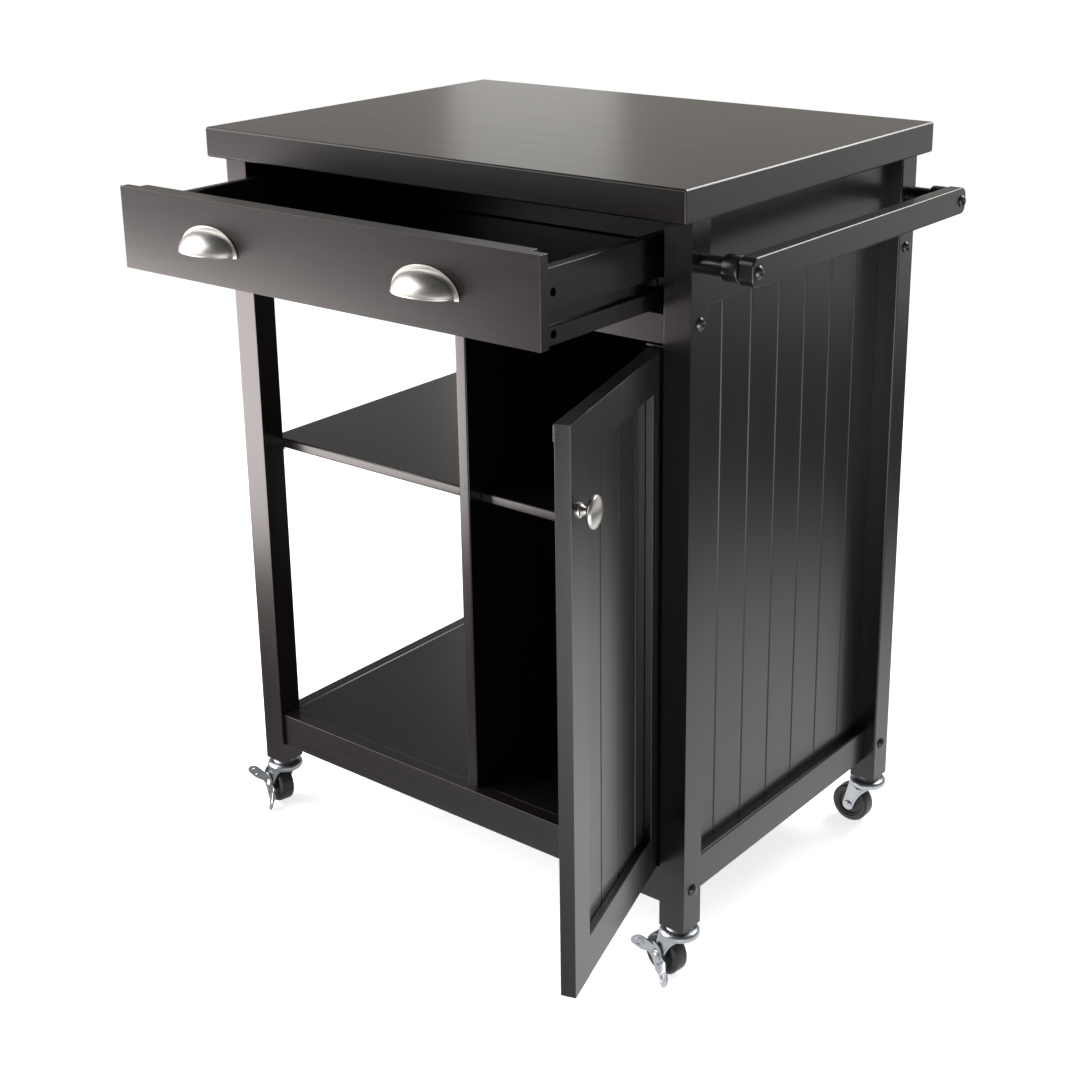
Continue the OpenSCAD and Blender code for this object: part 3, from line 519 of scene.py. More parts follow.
def build_nickel(nodes):
    """Satin nickel with faint brushing."""
    nickel = bpy.context.scene.cart_metal.nickel
    brushing = nodes.pattern(nodes.coords((40, 40, 1400)), Scale=1.0, Detail=4.0, Roughness=0.6)
    nodes.tint(brushing, [(0.3, times(nickel, 0.80)), (0.7, nickel)])
    nodes.spread(brushing, "Fac", 0.27, 0.40)
    nodes.bump(brushing, 0.10, 0.04 * MM)
    nodes.fix(Metallic=1)


def build_zinc(nodes):
    """Bright zinc plating with a faint crystalline mottle."""
    zinc = bpy.context.scene.cart_metal.zinc
    mottle = nodes.pattern(nodes.coords(), "Voronoi", Scale=420.0, feature="F1")
    haze = nodes.pattern(nodes.coords(), Scale=160.0, Detail=5.0)
    nodes.tint(haze, [(0.3, times(zinc, 0.88)), (0.7, zinc)])
    nodes.spread(mottle, "Distance", 0.26, 0.36)
    nodes.bump(haze, 0.03, 0.02 * MM)
    nodes.fix(Metallic=1)


def build_bolt(nodes):
    """Dark nickel plating of the bolt heads."""
    bolt = bpy.context.scene.cart_metal.bolt
    haze = nodes.pattern(nodes.coords(), Scale=500.0, Detail=4.0)
    nodes.tint(haze, [(0.3, times(bolt, 0.8)), (0.7, bolt)])
    nodes.spread(haze, "Fac", 0.22, 0.34)
    nodes.fix(Metallic=1)


def build_tread(nodes):
    """Dark grey moulded tread with a fine matt skin and dust on it."""
    tread = bpy.context.scene.cart_metal.tread
    skin = nodes.pattern(nodes.coords(), Scale=900.0, Detail=3.0)
    dust = nodes.pattern(nodes.coords(), Scale=60.0, Detail=6.0, Roughness=0.65)
    nodes.tint(dust, [(0.35, tread), (0.75, times(tread, 1.8))])
    nodes.spread(dust, "Fac", 0.34, 0.50)
    nodes.bump(skin, 0.12, 0.05 * MM)


def build_plastic(nodes, scale, dark, light, roughness, relief):
    """Dark moulded plastic, its skin's noise of that scale moving colour, roughness and bump together."""
    skin = nodes.pattern(nodes.coords(), Scale=scale, Detail=3.0)
    nodes.tint(skin, [(0.3, dark), (0.7, light)])
    nodes.spread(skin, "Fac", *roughness)
    nodes.bump(skin, *relief)


def hub_plastic():
    return material("wheel hub", build_plastic, 700.0, (0.016, 0.016, 0.017), (0.024, 0.024, 0.025),
                    (0.38, 0.50), (0.08, 0.04 * MM))


def catch_plastic():
    return material("catch plastic", build_plastic, 800.0, (0.012,) * 3, (0.02,) * 3,
                    (0.42, 0.55), (0.15, 0.05 * MM))


def nickel():
    return material("satin nickel", build_nickel)


def zinc():
    return material("bright zinc", build_zinc)


def bolt_plating():
    return material("dark nickel", build_bolt)


# Boards and the grain direction of each, 0 along X, 1 along Y, 2 along Z

FRAME_BOARDS = {
    "post_front_left": 2, "post_front_right": 2, "post_rear_left": 2, "post_rear_right": 2,
    "rail_bottom_front": 0, "rail_bottom_rear": 0, "rail_bottom_left": 1, "rail_bottom_right": 1,
    "rail_drawer_front": 0, "rail_top_rear": 0, "rail_top_left": 1, "rail_top_right": 1,
    "back_panel": 2, "divider": 2, "bottom_panel": 0, "shelf_left": 0, "shelf_cabinet": 0,
    "drawer_runner_left": 1, "drawer_runner_right": 1,
}
DRAWER_BOARDS = {
    "drawer_front": 0, "drawer_side_left": 1, "drawer_side_right": 1, "drawer_back": 0, "drawer_bottom": 0,
}
DOOR_BOARDS = {"door_stile_hinge": 2, "door_stile_latch": 2, "door_rail_top": 1, "door_rail_bottom": 1}


def dress_boards(boards, body, edge):
    for node, grain in boards.items():
        piece = board(node, grain, edge, node == "drawer_front")
        finish_piece(piece, body, node)


class CART_OT_worktop(bpy.types.Operator):
    """Adds the worktop with its softly rounded edges"""
    bl_idname = "cart.worktop"
    bl_label = "Worktop"

    def execute(self, context):
        piece = board("worktop", 0, context.scene.cart_wood.top_edge, True)
        finish_piece(piece, "frame", "worktop")
        return {"FINISHED"}


class CART_OT_frame_boards(bpy.types.Operator):
    """Adds the posts, rails, panels, shelves and runners"""
    bl_idname = "cart.frame_boards"
    bl_label = "Frame Boards"

    def execute(self, context):
        dress_boards(FRAME_BOARDS, "frame", context.scene.cart_wood.edge)
        return {"FINISHED"}


class CART_OT_side_panel(bpy.types.Operator):
    """Adds the grooved side panel"""
    bl_idname = "cart.side_panel"
    bl_label = "Side Panel"

    def execute(self, context):
        piece = board("side_panel_right", 2, context.scene.cart_wood.groove_edge)
        finish_piece(piece, "frame", "side_panel_right")
        return {"FINISHED"}


class CART_OT_towel_bar(bpy.types.Operator):
    """Adds the towel bar and its two turned arms"""
    bl_idname = "cart.towel_bar"
    bl_label = "Towel Bar"

    def execute(self, context):
        low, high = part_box("towel_bar")
        end_round, edge_round = 9 * MM, 2.2 * MM
        reach, rise = (high[1] - low[1]) / 2 - end_round, (high[2] - low[2]) / 2 - end_round
        outline = []
        centres = ((reach, rise), (-reach, rise), (-reach, -rise), (reach, -rise))
        for centre, start in zip(centres, (0, 90, 180, 270)):
            outline += arc(centre, end_round, start, start + 90, 8)
        bar = sheet_plate("towel_bar_rounded", outline, high[0] - low[0], 0)
        round_edges(bar, edge_round, 4, 50)
        quarter_turn = Matrix.Rotation(math.pi / 2, 4, "Z")
        place(bar, Matrix.Translation(side_middle(low, high, low[0])) @ quarter_turn)
        coat(bar, wood_along(1))
        finish_piece(bar, "frame", "towel_bar")
        for node in ("towel_bar_arm_front", "towel_bar_arm_rear"):
            low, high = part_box(node)
            arm = turned(node + "_turned", arm_outline(high[0] - low[0]), 72)
            smooth(arm, 40)
            place(arm, facing(side_middle(low, high, low[0]), (1, 0, 0)))
            coat(arm, wood_along(0))
            finish_piece(arm, "frame", node)
        return {"FINISHED"}


def arm_outline(length):
    """Half outline of a turned arm with a rounded collar at its end."""
    rod, collar, collar_width, break_edge = 10 * MM, 14 * MM, 19 * MM, 0.4 * MM
    inner_round = [(2.2, 0), (1.0, 0.4), (0.3, 1.1), (0, 2.2)]
    outer_round = [(0, 1.6), (0.4, 0.6), (1.4, 0)]
    start = length - collar_width
    return [
        (0, 0), (rod - break_edge, 0), (rod, break_edge), (rod, start - break_edge),
        (rod + 0.3 * MM, start),
        *[(collar - x * MM, start + z * MM) for x, z in inner_round],
        *[(collar - x * MM, length - z * MM) for x, z in outer_round],
        (0, length),
    ]


class CART_OT_drawer(bpy.types.Operator):
    """Adds the drawer's front, sides, back and bottom"""
    bl_idname = "cart.drawer"
    bl_label = "Drawer"

    def execute(self, context):
        dress_boards(DRAWER_BOARDS, "drawer", context.scene.cart_wood.edge)
        return {"FINISHED"}


class CART_OT_door(bpy.types.Operator):
    """Adds the door's stiles, rails and grooved panel"""
    bl_idname = "cart.door"
    bl_label = "Door"

    def execute(self, context):
        wood = context.scene.cart_wood
        dress_boards(DOOR_BOARDS, "door", wood.edge)
        piece = board("door_panel", 2, wood.groove_edge)
        finish_piece(piece, "door", "door_panel")
        return {"FINISHED"}


# Fasteners and small hardware

FASTENERS = {
    "shelf_pins": ("frame", "satin_nickel"),
    "door_pivots": ("frame", "dark_steel"),
    "drawer_screws": ("drawer", "zinc_steel"),
    "strike_plate": ("door", "dark_steel"),
    "magnetic_catch": ("frame", "catch_black"),
}


def loose_boxes(node):
    """Lowest and highest corners of each separate solid of a node."""
    merged_copy(node, node + "_copy")
    bpy.ops.mesh.separate(type="LOOSE")
    leave_edit()
    boxes = []
    for piece in list(bpy.context.selected_objects):
        reach = [[v.co[axis] for v in piece.data.vertices] for axis in range(3)]
        boxes.append(([min(values) for values in reach], [max(values) for values in reach]))
        drop(piece)
    return sorted(boxes)


def domed_bolt(low, high):
    """Bolt along X with a low domed head, its seat rounded over, and its shank in the wood."""
    side = 1 if high[0] > 0 else -1
    tip = high[0] if side > 0 else low[0]
    radius, rise, shank = (high[2] - low[2]) / 2, 4.5 * MM, 3.0 * MM
    chamfer, rim, rim_round = 0.4 * MM, 0.7 * MM, 0.3 * MM
    length = high[0] - low[0] - rise
    dome_half = radius - rim_round
    crown = dome_radius(dome_half, rise - rim - 0.2 * MM)
    tilt = math.degrees(math.asin(dome_half / crown))
    outline = [(0, -length), (shank, -length), (shank, 0), (radius - chamfer, 0), (radius, rim_round),
               (radius, rim), *arc((0, rise - crown), crown, 90 - tilt, 90, 10)]
    bolt = turned("bolt", outline, 48)
    smooth(bolt, 40)
    place(bolt, facing(side_middle(low, high, tip - side * rise), (side, 0, 0)))
    return bolt


class CART_OT_bolts(bpy.types.Operator):
    """Adds the domed bolts of the frame and of the towel bar"""
    bl_idname = "cart.bolts"
    bl_label = "Bolts"

    def execute(self, context):
        for node in ("frame_bolts", "towel_bar_bolts"):
            piece = join(node + "_domed", [domed_bolt(low, high) for low, high in loose_boxes(node)])
            coat(piece, bolt_plating())
            finish_piece(piece, "frame", node)
        return {"FINISHED"}


class CART_OT_fasteners(bpy.types.Operator):
    """Adds the pins, screws, pivot plates, the catch and its plate"""
    bl_idname = "cart.fasteners"
    bl_label = "Fasteners"

    def execute(self, context):
        finishes = {
            "dark_steel": bolt_plating(),
            "satin_nickel": nickel(),
            "zinc_steel": zinc(),
            "catch_black": catch_plastic(),
        }
        for node, (body, slot) in FASTENERS.items():
            piece = fitting(node, finishes[slot], 0.25 * MM)
            finish_piece(piece, body, node)
        return {"FINISHED"}


# Cup pulls


def full_arch(half, rise, count, fullness=2.1):
    """Points of an arch from the right to the left: fullness 2 is an ellipse, and more is squarer."""
    points = []
    for i in range(count + 1):
        angle = math.pi * i / count
        x, z = math.cos(angle), math.sin(angle)
        points.append((math.copysign(abs(x) ** (2 / fullness), x) * half, abs(z) ** (2 / fullness) * rise))
    return points


def pull_dome(name, half, depth, rise, wall):
    """Thin quarter dome that stands out to the front and opens downward."""
    dome = start_line(name, [(x, 0, z) for x, z in full_arch(half, depth, 44)])
    edit(dome)
    bpy.ops.mesh.spin(steps=26, angle=math.pi / 2, center=(0, 0, 0), axis=(1, 0, 0))
    bpy.ops.mesh.select_all(action="SELECT")
    bpy.ops.mesh.remove_doubles(threshold=WELD)
    bpy.ops.transform.resize(value=(1, -1, rise / depth), center_override=(0, 0, 0))
    bpy.ops.mesh.normals_make_consistent(inside=False)
    leave_edit()
    apply_modifier(dome, "SOLIDIFY", thickness=wall, offset=-1, use_even_offset=True)
    smooth(dome, 50)
    return dome


def pull_lip(name, half, depth, radius):
    """Rolled lip along the dome's lower edge."""
    lip = start_line(name, [(x, -y, 0) for x, y in full_arch(half, depth, 60)])
    take(lip)
    bpy.ops.object.convert(target="CURVE")
    lip = bpy.context.active_object
    lip.data.bevel_depth = radius
    lip.data.bevel_resolution = 4
    lip.data.use_fill_caps = True
    bpy.ops.object.convert(target="MESH")
    lip = bpy.context.active_object
    recalculate(lip)
    smooth(lip, 60)
    return lip


def pull_flange(name, half, rise, foot, inner_half, inner_rise):
    """Arched flange with two short feet, open under the dome."""
    sheet, heel, edge_round = 2.0 * MM, 1.2 * MM, 0.6 * MM
    outer_foot, heel_curve = foot * 0.6, heel * 0.3
    arch = [(x, z + outer_foot) for x, z in full_arch(half, rise - outer_foot, 56, 2.05)]
    outer = [(half - heel, 0), (half - heel_curve, heel_curve), *arch,
             (-half + heel_curve, heel_curve), (-half + heel, 0)]
    inner = [(x, z + foot) for x, z in full_arch(inner_half, inner_rise, 56)]
    inner = [(inner_half, 0), *inner, (-inner_half, 0)]
    flange = sheet_plate(name, outer + list(reversed(inner)), sheet, 0)
    round_edges(flange, edge_round, 3, 50)
    return flange


def cup_pull(name, low, high, fittings):
    """Bin pull in the box between the corners: a full quarter dome, an arched flange and a rolled lip."""
    half, height = (high[0] - low[0]) / 2, high[2] - low[2]
    foot, wall, lip = fittings.pull_foot, fittings.pull_wall, 1.2 * MM
    depth = high[1] - low[1] - lip
    rise = height - foot - fittings.pull_flange
    dome_half = half - fittings.pull_flange
    dome = pull_dome(name, dome_half, depth, rise, wall)
    rim = pull_lip(name + "_lip", dome_half - wall / 2, depth - wall / 2, lip)
    for piece in (dome, rim):
        place(piece, Matrix.Translation((0, 0, foot)))
    flange = pull_flange(name + "_flange", half, height, foot, dome_half - wall, rise - wall)
    piece = join(name, [dome, flange, rim])
    place(piece, Matrix.Translation(((low[0] + high[0]) / 2, high[1], low[2])))
    coat(piece, nickel())
    return piece


class CART_OT_cup_pulls(bpy.types.Operator):
    """Adds the two cup pulls of the drawer"""
    bl_idname = "cart.cup_pulls"
    bl_label = "Cup Pulls"

    def execute(self, context):
        for node in ("cup_pull_left", "cup_pull_right"):
            low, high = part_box(node)
            high = (high[0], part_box("drawer_front")[0][1], high[2])
            piece = cup_pull(node + "_dressed", low, high, context.scene.cart_fittings)
            finish_piece(piece, "drawer", node)
        return {"FINISHED"}


# Knob of the door

SHUT_KNOB_FOOT = Vector((46 * MM, -228.5 * MM, 653 * MM))


def knob_outline(diameter, reach):
    """Half outline of a mushroom knob: conical foot, waisted neck, rounded rim and domed face."""
    foot, neck, rim = 7.5 * MM, 3.2 * MM, 3.1 * MM
    rim_x, rim_z = diameter / 2 - rim, reach - 2.1 * rim
    meeting, tucked = math.radians(30), math.radians(70)
    face_half = rim_x + rim * math.sin(meeting)
    face_radius = dome_radius(face_half, reach - rim_z - rim * math.cos(meeting))
    tilt = math.degrees(math.asin(face_half / face_radius))
    under = rim_z - rim * math.sin(tucked)
    return [
        (0, 0), (foot, 0), (foot, 1.4 * MM), (foot - 0.3 * MM, 1.9 * MM), (foot - 0.9 * MM, 2.1 * MM),
        (foot - 2.0 * MM, 3.3 * MM), (foot - 3.1 * MM, 4.9 * MM), (neck + 0.3 * MM, 6.3 * MM),
        (neck, 7.2 * MM), (neck + 0.2 * MM, 8.2 * MM), (neck + 1.0 * MM, under - 2.0 * MM),
        (neck + 2.8 * MM, under - 1.2 * MM), (neck + 6.0 * MM, under - 0.6 * MM),
        *arc((rim_x, rim_z), rim, -70, 60, 8),
        *arc((0, reach - face_radius), face_radius, 90 - tilt * 0.9, 90, 8),
    ]


class CART_OT_knob(bpy.types.Operator):
    """Adds the door's mushroom knob"""
    bl_idname = "cart.knob"
    bl_label = "Knob"

    def execute(self, context):
        fittings = context.scene.cart_fittings
        hinge = Vector(JOINTS["door_hinge"]["pos_m"])
        turn = Matrix.Rotation(fittings.door_angle, 3, "Z")
        foot = turn @ (SHUT_KNOB_FOOT - hinge) + hinge
        piece = turned("door_knob_dressed", knob_outline(fittings.knob_diameter, fittings.knob_reach), 72)
        smooth(piece, 40)
        place(piece, facing(foot, turn @ Vector((0, -1, 0))))
        coat(piece, nickel())
        finish_piece(piece, "door", "door_knob")
        return {"FINISHED"}


# Casters: each is drawn with its stem on Z and its wheel trailing along +X

SHEET = 2.5 * MM
CHEEK_OUTER = 13.5 * MM
CHEEK_INNER = CHEEK_OUTER - SHEET
PEDAL_INNER = 13.8 * MM
PEDAL_RIVET = 16.6 * MM
AXLE_BORE = 3.1 * MM


def caster_place(corner):
    """Matrix of a corner's caster, and its axle's place in it."""
    stem = Vector(JOINTS["caster_swivel_" + corner]["pos_m"])
    axle = Vector(JOINTS["wheel_spin_" + corner]["pos_m"])
    trail = Vector((axle.x - stem.x, axle.y - stem.y, 0))
    turn = Matrix.Rotation(math.atan2(trail.y, trail.x), 4, "Z")
    return Matrix.Translation((stem.x, stem.y, 0)) @ turn, Vector((trail.length, 0, axle.z))


def tangent_angle(point, centre, radius, side):
    """Angle in degrees at which the line from point touches the circle."""
    away = Vector((point[0] - centre[0], point[1] - centre[1]))
    return math.degrees(math.atan2(away.y, away.x) + side * math.acos(radius / away.length))


def swept_line(start, bend, end, count):
    """Points of a smooth curve from start to end, drawn toward bend between them."""
    points = []
    for i in range(count):
        t = i / count
        a, b, c = (1 - t) ** 2, 2 * t * (1 - t), t * t
        points.append(tuple(a * start[k] + b * bend[k] + c * end[k] for k in (0, 1)))
    return points


def crown_piece():
    """Swivel crown with its rolled raceway and a stepped lid."""
    bore, low, top = 4.8 * MM, 57.2 * MM, 69.7 * MM
    roll, rim, rim_z = 5.2 * MM, 17.8 * MM, 62.2 * MM
    crown = turned("crown", [
        (bore, low), (rim - 1.5 * MM, low), *arc((rim, rim_z), roll, -90, 80, 14),
        (15.6 * MM, 68.0 * MM), (14.9 * MM, 69.2 * MM), (14.0 * MM, top), (bore, top), (bore, low)], 64)
    smooth(crown, 40)
    return crown


def fork(axle):
    """Crown and two pressed cheeks that sweep in toward the axle."""
    centre, boss, cheek_top = (axle.x, axle.z), 7.4 * MM, 60.5 * MM
    back, inward, front = (-18.5 * MM, cheek_top), (4.5 * MM, 50.5 * MM), (18.6 * MM, cheek_top)
    margin, step, depth, edge_round = 2.4 * MM, 1.0 * MM, 0.7 * MM, 0.5 * MM
    low_back = tangent_angle(inward, centre, boss, 1)
    low_front = tangent_angle(front, centre, boss, -1)
    touch = arc(centre, boss, low_back, low_back, 1)[0]
    outline = [*swept_line(back, inward, touch, 12),
               *arc(centre, boss, low_back, low_front + 360, 22), front]
    pieces = [crown_piece()]
    for y, outward in ((CHEEK_OUTER, 1), (-CHEEK_INNER, -1)):
        cheek = sheet_plate("cheek", outline, SHEET, y)
        edit_faces(cheek, lambda face: face.normal.y * outward > 0.9)
        bpy.ops.mesh.inset(thickness=margin, depth=0)
        bpy.ops.mesh.inset(thickness=step, depth=-depth)
        leave_edit()
        round_edges(cheek, edge_round, 3, 30)
        pieces.append(cheek)
    return join("fork", pieces)


def axle_outline(low, high):
    """Half outline of a riveted axle between the outer faces of what it holds."""
    shaft, head, rise = 3.0 * MM, 5.0 * MM, 2.0 * MM
    radius = dome_radius(head, rise * 0.8)
    tilt = math.degrees(math.asin(head / radius))
    start = low - rise
    dome = arc((0, radius), radius, -90, -90 + tilt, 6)
    return [
        *[(x, start + z) for x, z in dome],
        (head, low), (shaft, low), (shaft, high), (head, high),
        *[(x, high + rise - z) for x, z in reversed(dome)],
    ]


def both_faces(half, *middle):
    """Closed outline of (radius, height) points from its upper half, which runs inward to the bore."""
    below = [(r, -z) for r, z in reversed(half)]
    return [*below, *middle, *half, below[0]]


def wheel_pieces(axle):
    """Tread with rounded shoulders and a hub with a raised rim and a boss."""
    shoulder = 3.4 * MM
    tread_face = [*arc((21.6 * MM, 6.1 * MM), shoulder, 0, 90, 6), (20.5 * MM, 9.5 * MM),
                  (18.4 * MM, 9.3 * MM), (17.4 * MM, 8.6 * MM), (16.6 * MM, 7.0 * MM)]
    hub_face = [(16.8 * MM, 8.2 * MM), (15.4 * MM, 8.2 * MM), (14.6 * MM, 6.2 * MM), (8.2 * MM, 6.8 * MM),
                (7.9 * MM, 9.4 * MM), (7.2 * MM, 10.1 * MM), (AXLE_BORE, 10.1 * MM)]
    tyre = turned("tread", both_faces(tread_face, (25.0 * MM, 0)), 72)
    hub = turned("hub", both_faces(hub_face), 56)
    for piece in (tyre, hub):
        smooth(piece, 32)
        place(piece, facing(axle, (0, 1, 0)))
    coat(tyre, material("wheel tread", build_tread))
    coat(hub, hub_plastic())
    return join("wheel", [tyre, hub])


def rounded_strip(name, reach, width):
    """Strip of sheet up from the origin, with a rounded end at reach."""
    half = width / 2
    outline = [(half, 0), *arc((0, reach - half), half, 0, 180, 20), (-half, 0)]
    strip = sheet_plate(name, outline, SHEET, SHEET)
    round_edges(strip, 0.45 * MM, 3, 25)
    return strip


def loft(name, rings):
    """Skin over closed rings of points, closed at both ends."""
    skin = join(name, [start_line(name, ring + ring[:1]) for ring in rings])
    edit(skin)
    bpy.ops.mesh.remove_doubles(threshold=WELD)
    bpy.ops.mesh.bridge_edge_loops()
    bpy.ops.mesh.select_all(action="SELECT")
    bpy.ops.mesh.fill_holes(sides=0)
    leave_edit()
    recalculate(skin)
    return skin


def ease(value, low, high):
    """Smooth step from 0 at low to 1 at high."""
    t = min(max((value - low) / (high - low), 0), 1)
    return t * t * (3 - 2 * t)


def pedal_lobe(lean, side):
    """Lobe of pressed sheet that bends outward, with a round end and a raised ring: the upper one twists."""
    half, reach, cut, end_width = 7.6 * MM, 33 * MM, 0.45 * MM, 0.9 * MM
    bend_start, bend_from, bend_to, twist_to = 11 * MM, 9 * MM, 14 * MM, 18 * MM
    lift, nose = 2.0 * MM, 6.7 * MM
    slope, twist = math.tan(math.radians(28)), math.radians(24 if side > 0 else 0)
    along = Vector((math.sin(lean), 0, math.cos(lean))) * side
    across = Vector((math.cos(lean), 0, -math.sin(lean)))
    out = Vector((0, 1, 0))
    middle, face = PEDAL_INNER + SHEET / 2, SHEET / 2
    nose_at = reach - half * 0.88
    stops = [stop * MM for stop in (1, 6, 9, 11, 13, 15, 17, 19.5, 22)]
    stops += [nose_at + 6.6 * MM * math.sin(math.radians(angle))
              for angle in (0, 15, 30, 45, 58, 70, 80, 86)]
    rings = []
    for stop in stops:
        turning = ease(stop, bend_from, twist_to)
        rise = slope * max(stop - bend_start, 0) * ease(stop, bend_from, bend_to) + lift * turning
        end = min(max((stop - nose_at) / nose, 0), 1)
        width = max(half * math.sqrt(1 - end * end), end_width)
        centre = along * stop + out * (middle + rise)
        wide = across * math.cos(twist * turning) + out * math.sin(twist * turning)
        normal = out * math.cos(twist * turning) - across * math.sin(twist * turning)
        corners = [(-width + cut, -face), (width - cut, -face), (width, cut - face), (width, face - cut),
                   (width - cut, face), (-width + cut, face), (-width, face - cut), (-width, cut - face)]
        rings.append([tuple(centre + wide * x + normal * z) for x, z in corners])
    lobe = loft("lobe", rings)
    smooth(lobe, 40)
    ring_at = 24.5 * MM
    normal = (out * math.cos(twist) - across * math.sin(twist)) - along * slope * 0.8
    seat = along * ring_at + out * (middle + slope * (ring_at - bend_start) + lift)
    seat += normal.normalized() * (face - 0.25 * MM)
    ring = turned("ring", [
        (3.4 * MM, 0), (3.5 * MM, 0.45 * MM), (4.0 * MM, 0.85 * MM), (4.6 * MM, 0.85 * MM),
        (5.1 * MM, 0.45 * MM), (5.3 * MM, 0), (3.4 * MM, 0)], 40)
    smooth(ring, 60)
    place(ring, facing(seat, normal, across))
    return [lobe, ring]


def pedal_piece(axle, lean):
    """Brake lever of pressed sheet: an oval body on the axle and two lobes that bend outward."""
    body_width, body_lean, upper_reach, lower_reach = 16 * MM, 20, 18 * MM, 23 * MM
    parts = []
    for turn, reach in ((body_lean, upper_reach), (body_lean + 180, lower_reach)):
        half_body = rounded_strip("body", reach, body_width)
        lean_turn = Matrix.Rotation(math.radians(turn), 4, "Y")
        place(half_body, lean_turn @ Matrix.Translation((0, PEDAL_INNER, 0)))
        parts.append(half_body)
    parts += pedal_lobe(lean, 1) + pedal_lobe(lean, -1)
    boss = turned("boss", [
        (AXLE_BORE, 0), (8.2 * MM, 0), (8.2 * MM, 2.4 * MM), (7.4 * MM, 3.1 * MM), (5.6 * MM, 2.7 * MM),
        (AXLE_BORE, 2.7 * MM), (AXLE_BORE, 0)], 48)
    smooth(boss, 40)
    place(boss, facing((0, PEDAL_INNER, 0), (0, 1, 0)))
    parts.append(boss)
    piece = join("pedal", parts)
    place(piece, Matrix.Translation(axle))
    return piece


class CART_OT_caster_stems(bpy.types.Operator):
    """Adds the stems and washers under the posts"""
    bl_idname = "cart.caster_stems"
    bl_label = "Caster Stems"

    def execute(self, context):
        piece = fitting("caster_stems", zinc(), 0.4 * MM)
        finish_piece(piece, "frame", "caster_stems")
        return {"FINISHED"}


class CART_OT_forks(bpy.types.Operator):
    """Adds the four swivel forks and their axles"""
    bl_idname = "cart.forks"
    bl_label = "Forks"

    def execute(self, context):
        pattern = fork(caster_place(CORNERS[0])[1])
        coat(pattern, zinc())
        for corner in CORNERS:
            matrix, axle = caster_place(corner)
            piece = copy_to(pattern, f"caster_fork_{corner}_dressed", matrix)
            finish_piece(piece, "caster_" + corner, "caster_fork_" + corner)
            near = PEDAL_RIVET if corner.startswith("front") else CHEEK_OUTER
            rod = turned(f"caster_axle_{corner}_dressed", axle_outline(-CHEEK_OUTER, near), 40)
            smooth(rod, 35)
            place(rod, matrix @ facing(axle, (0, 1, 0)))
            coat(rod, zinc())
            finish_piece(rod, "caster_" + corner, "caster_axle_" + corner)
        drop(pattern)
        return {"FINISHED"}


class CART_OT_wheels(bpy.types.Operator):
    """Adds the four wheels"""
    bl_idname = "cart.wheels"
    bl_label = "Wheels"

    def execute(self, context):
        pattern = wheel_pieces(caster_place(CORNERS[0])[1])
        for corner in CORNERS:
            piece = copy_to(pattern, f"caster_wheel_{corner}_dressed", caster_place(corner)[0])
            finish_piece(piece, "wheel_" + corner, "caster_wheel_" + corner)
        drop(pattern)
        return {"FINISHED"}


class CART_OT_brake_pedals(bpy.types.Operator):
    """Adds the brake pedals of the front casters"""
    bl_idname = "cart.brake_pedals"
    bl_label = "Brake Pedals"

    def execute(self, context):
        pattern = pedal_piece(caster_place("front_left")[1], context.scene.cart_fittings.pedal_lean)
        coat(pattern, zinc())
        for side in ("left", "right"):
            piece = copy_to(pattern, f"brake_pedal_{side}_dressed", caster_place("front_" + side)[0])
            finish_piece(piece, "brake_" + side, "brake_pedal_" + side)
        drop(pattern)
        return {"FINISHED"}


# Stage: floor, world, lamps and camera

FLOOR_SIZE = 40
FLOOR_DROP = 0.3 * MM
# Painted light on the floor that only reflections see: a painted pool of light near the cart, a painted glow
# far off, and a painted bright patch at the front right for painted highlights along the rounded edges.
# Levels: from distance, to distance, level near, level far.
PAINTED_POOL = (0.15, 1.35, 1.30, 0.10)
PAINTED_FAR_PATCH, PAINTED_FAR_LEVELS = (1.0, -3.0), (5.0, 6.2, 0, 0.8)
PAINTED_EDGE_PATCH, PAINTED_EDGE_LEVELS = (1.75, -2.05), (0.3, 2.2, 8.0, 0)
WALL_TONES = (
    (0.02, (1, 1, 1)), (0.10, (0.66, 0.60, 0.52)), (0.19, (0.335, 0.315, 0.285)), (0.35, (0.20,) * 3),
    (0.8, (0.10,) * 3),
)


def painted_floor_patch(nodes, coord, at, levels):
    """Level of painted light that fades round a place on the floor: from near to far, from inside to
    outside.
    """
    away = nodes.add("ShaderNodeVectorMath", operation="DISTANCE")
    nodes.link(coord, "Object", away, 0)
    away.inputs[1].default_value = (*at, 0)
    patch = nodes.add("ShaderNodeMapRange", interpolation_type="SMOOTHSTEP")
    for socket, value in zip(("From Min", "From Max", "To Min", "To Max"), levels):
        patch.inputs[socket].default_value = value
    nodes.link(away, "Value", patch, "Value")
    return patch


def joined(nodes, kind, first, second, **values):
    """Node of that kind over the first outputs of two others."""
    node = nodes.add(kind, **values)
    nodes.link(first, 0, node, 0)
    nodes.link(second, 0, node, 1)
    return node


def seen_plainly(nodes, path):
    """1 for what the eye sees, straight or through something clear."""
    plain = nodes.add("ShaderNodeMath", operation="MAXIMUM")
    nodes.link(path, "Is Camera Ray", plain, 0)
    nodes.link(path, "Is Transmission Ray", plain, 1)
    return plain


def choice(nodes, test, output, usual, other):
    """Shader that is the other one where the test holds."""
    node = nodes.add("ShaderNodeMixShader")
    nodes.link(test, output, node, 0)
    nodes.link(usual, 0, node, 1)
    nodes.link(other, 0, node, 2)
    return node


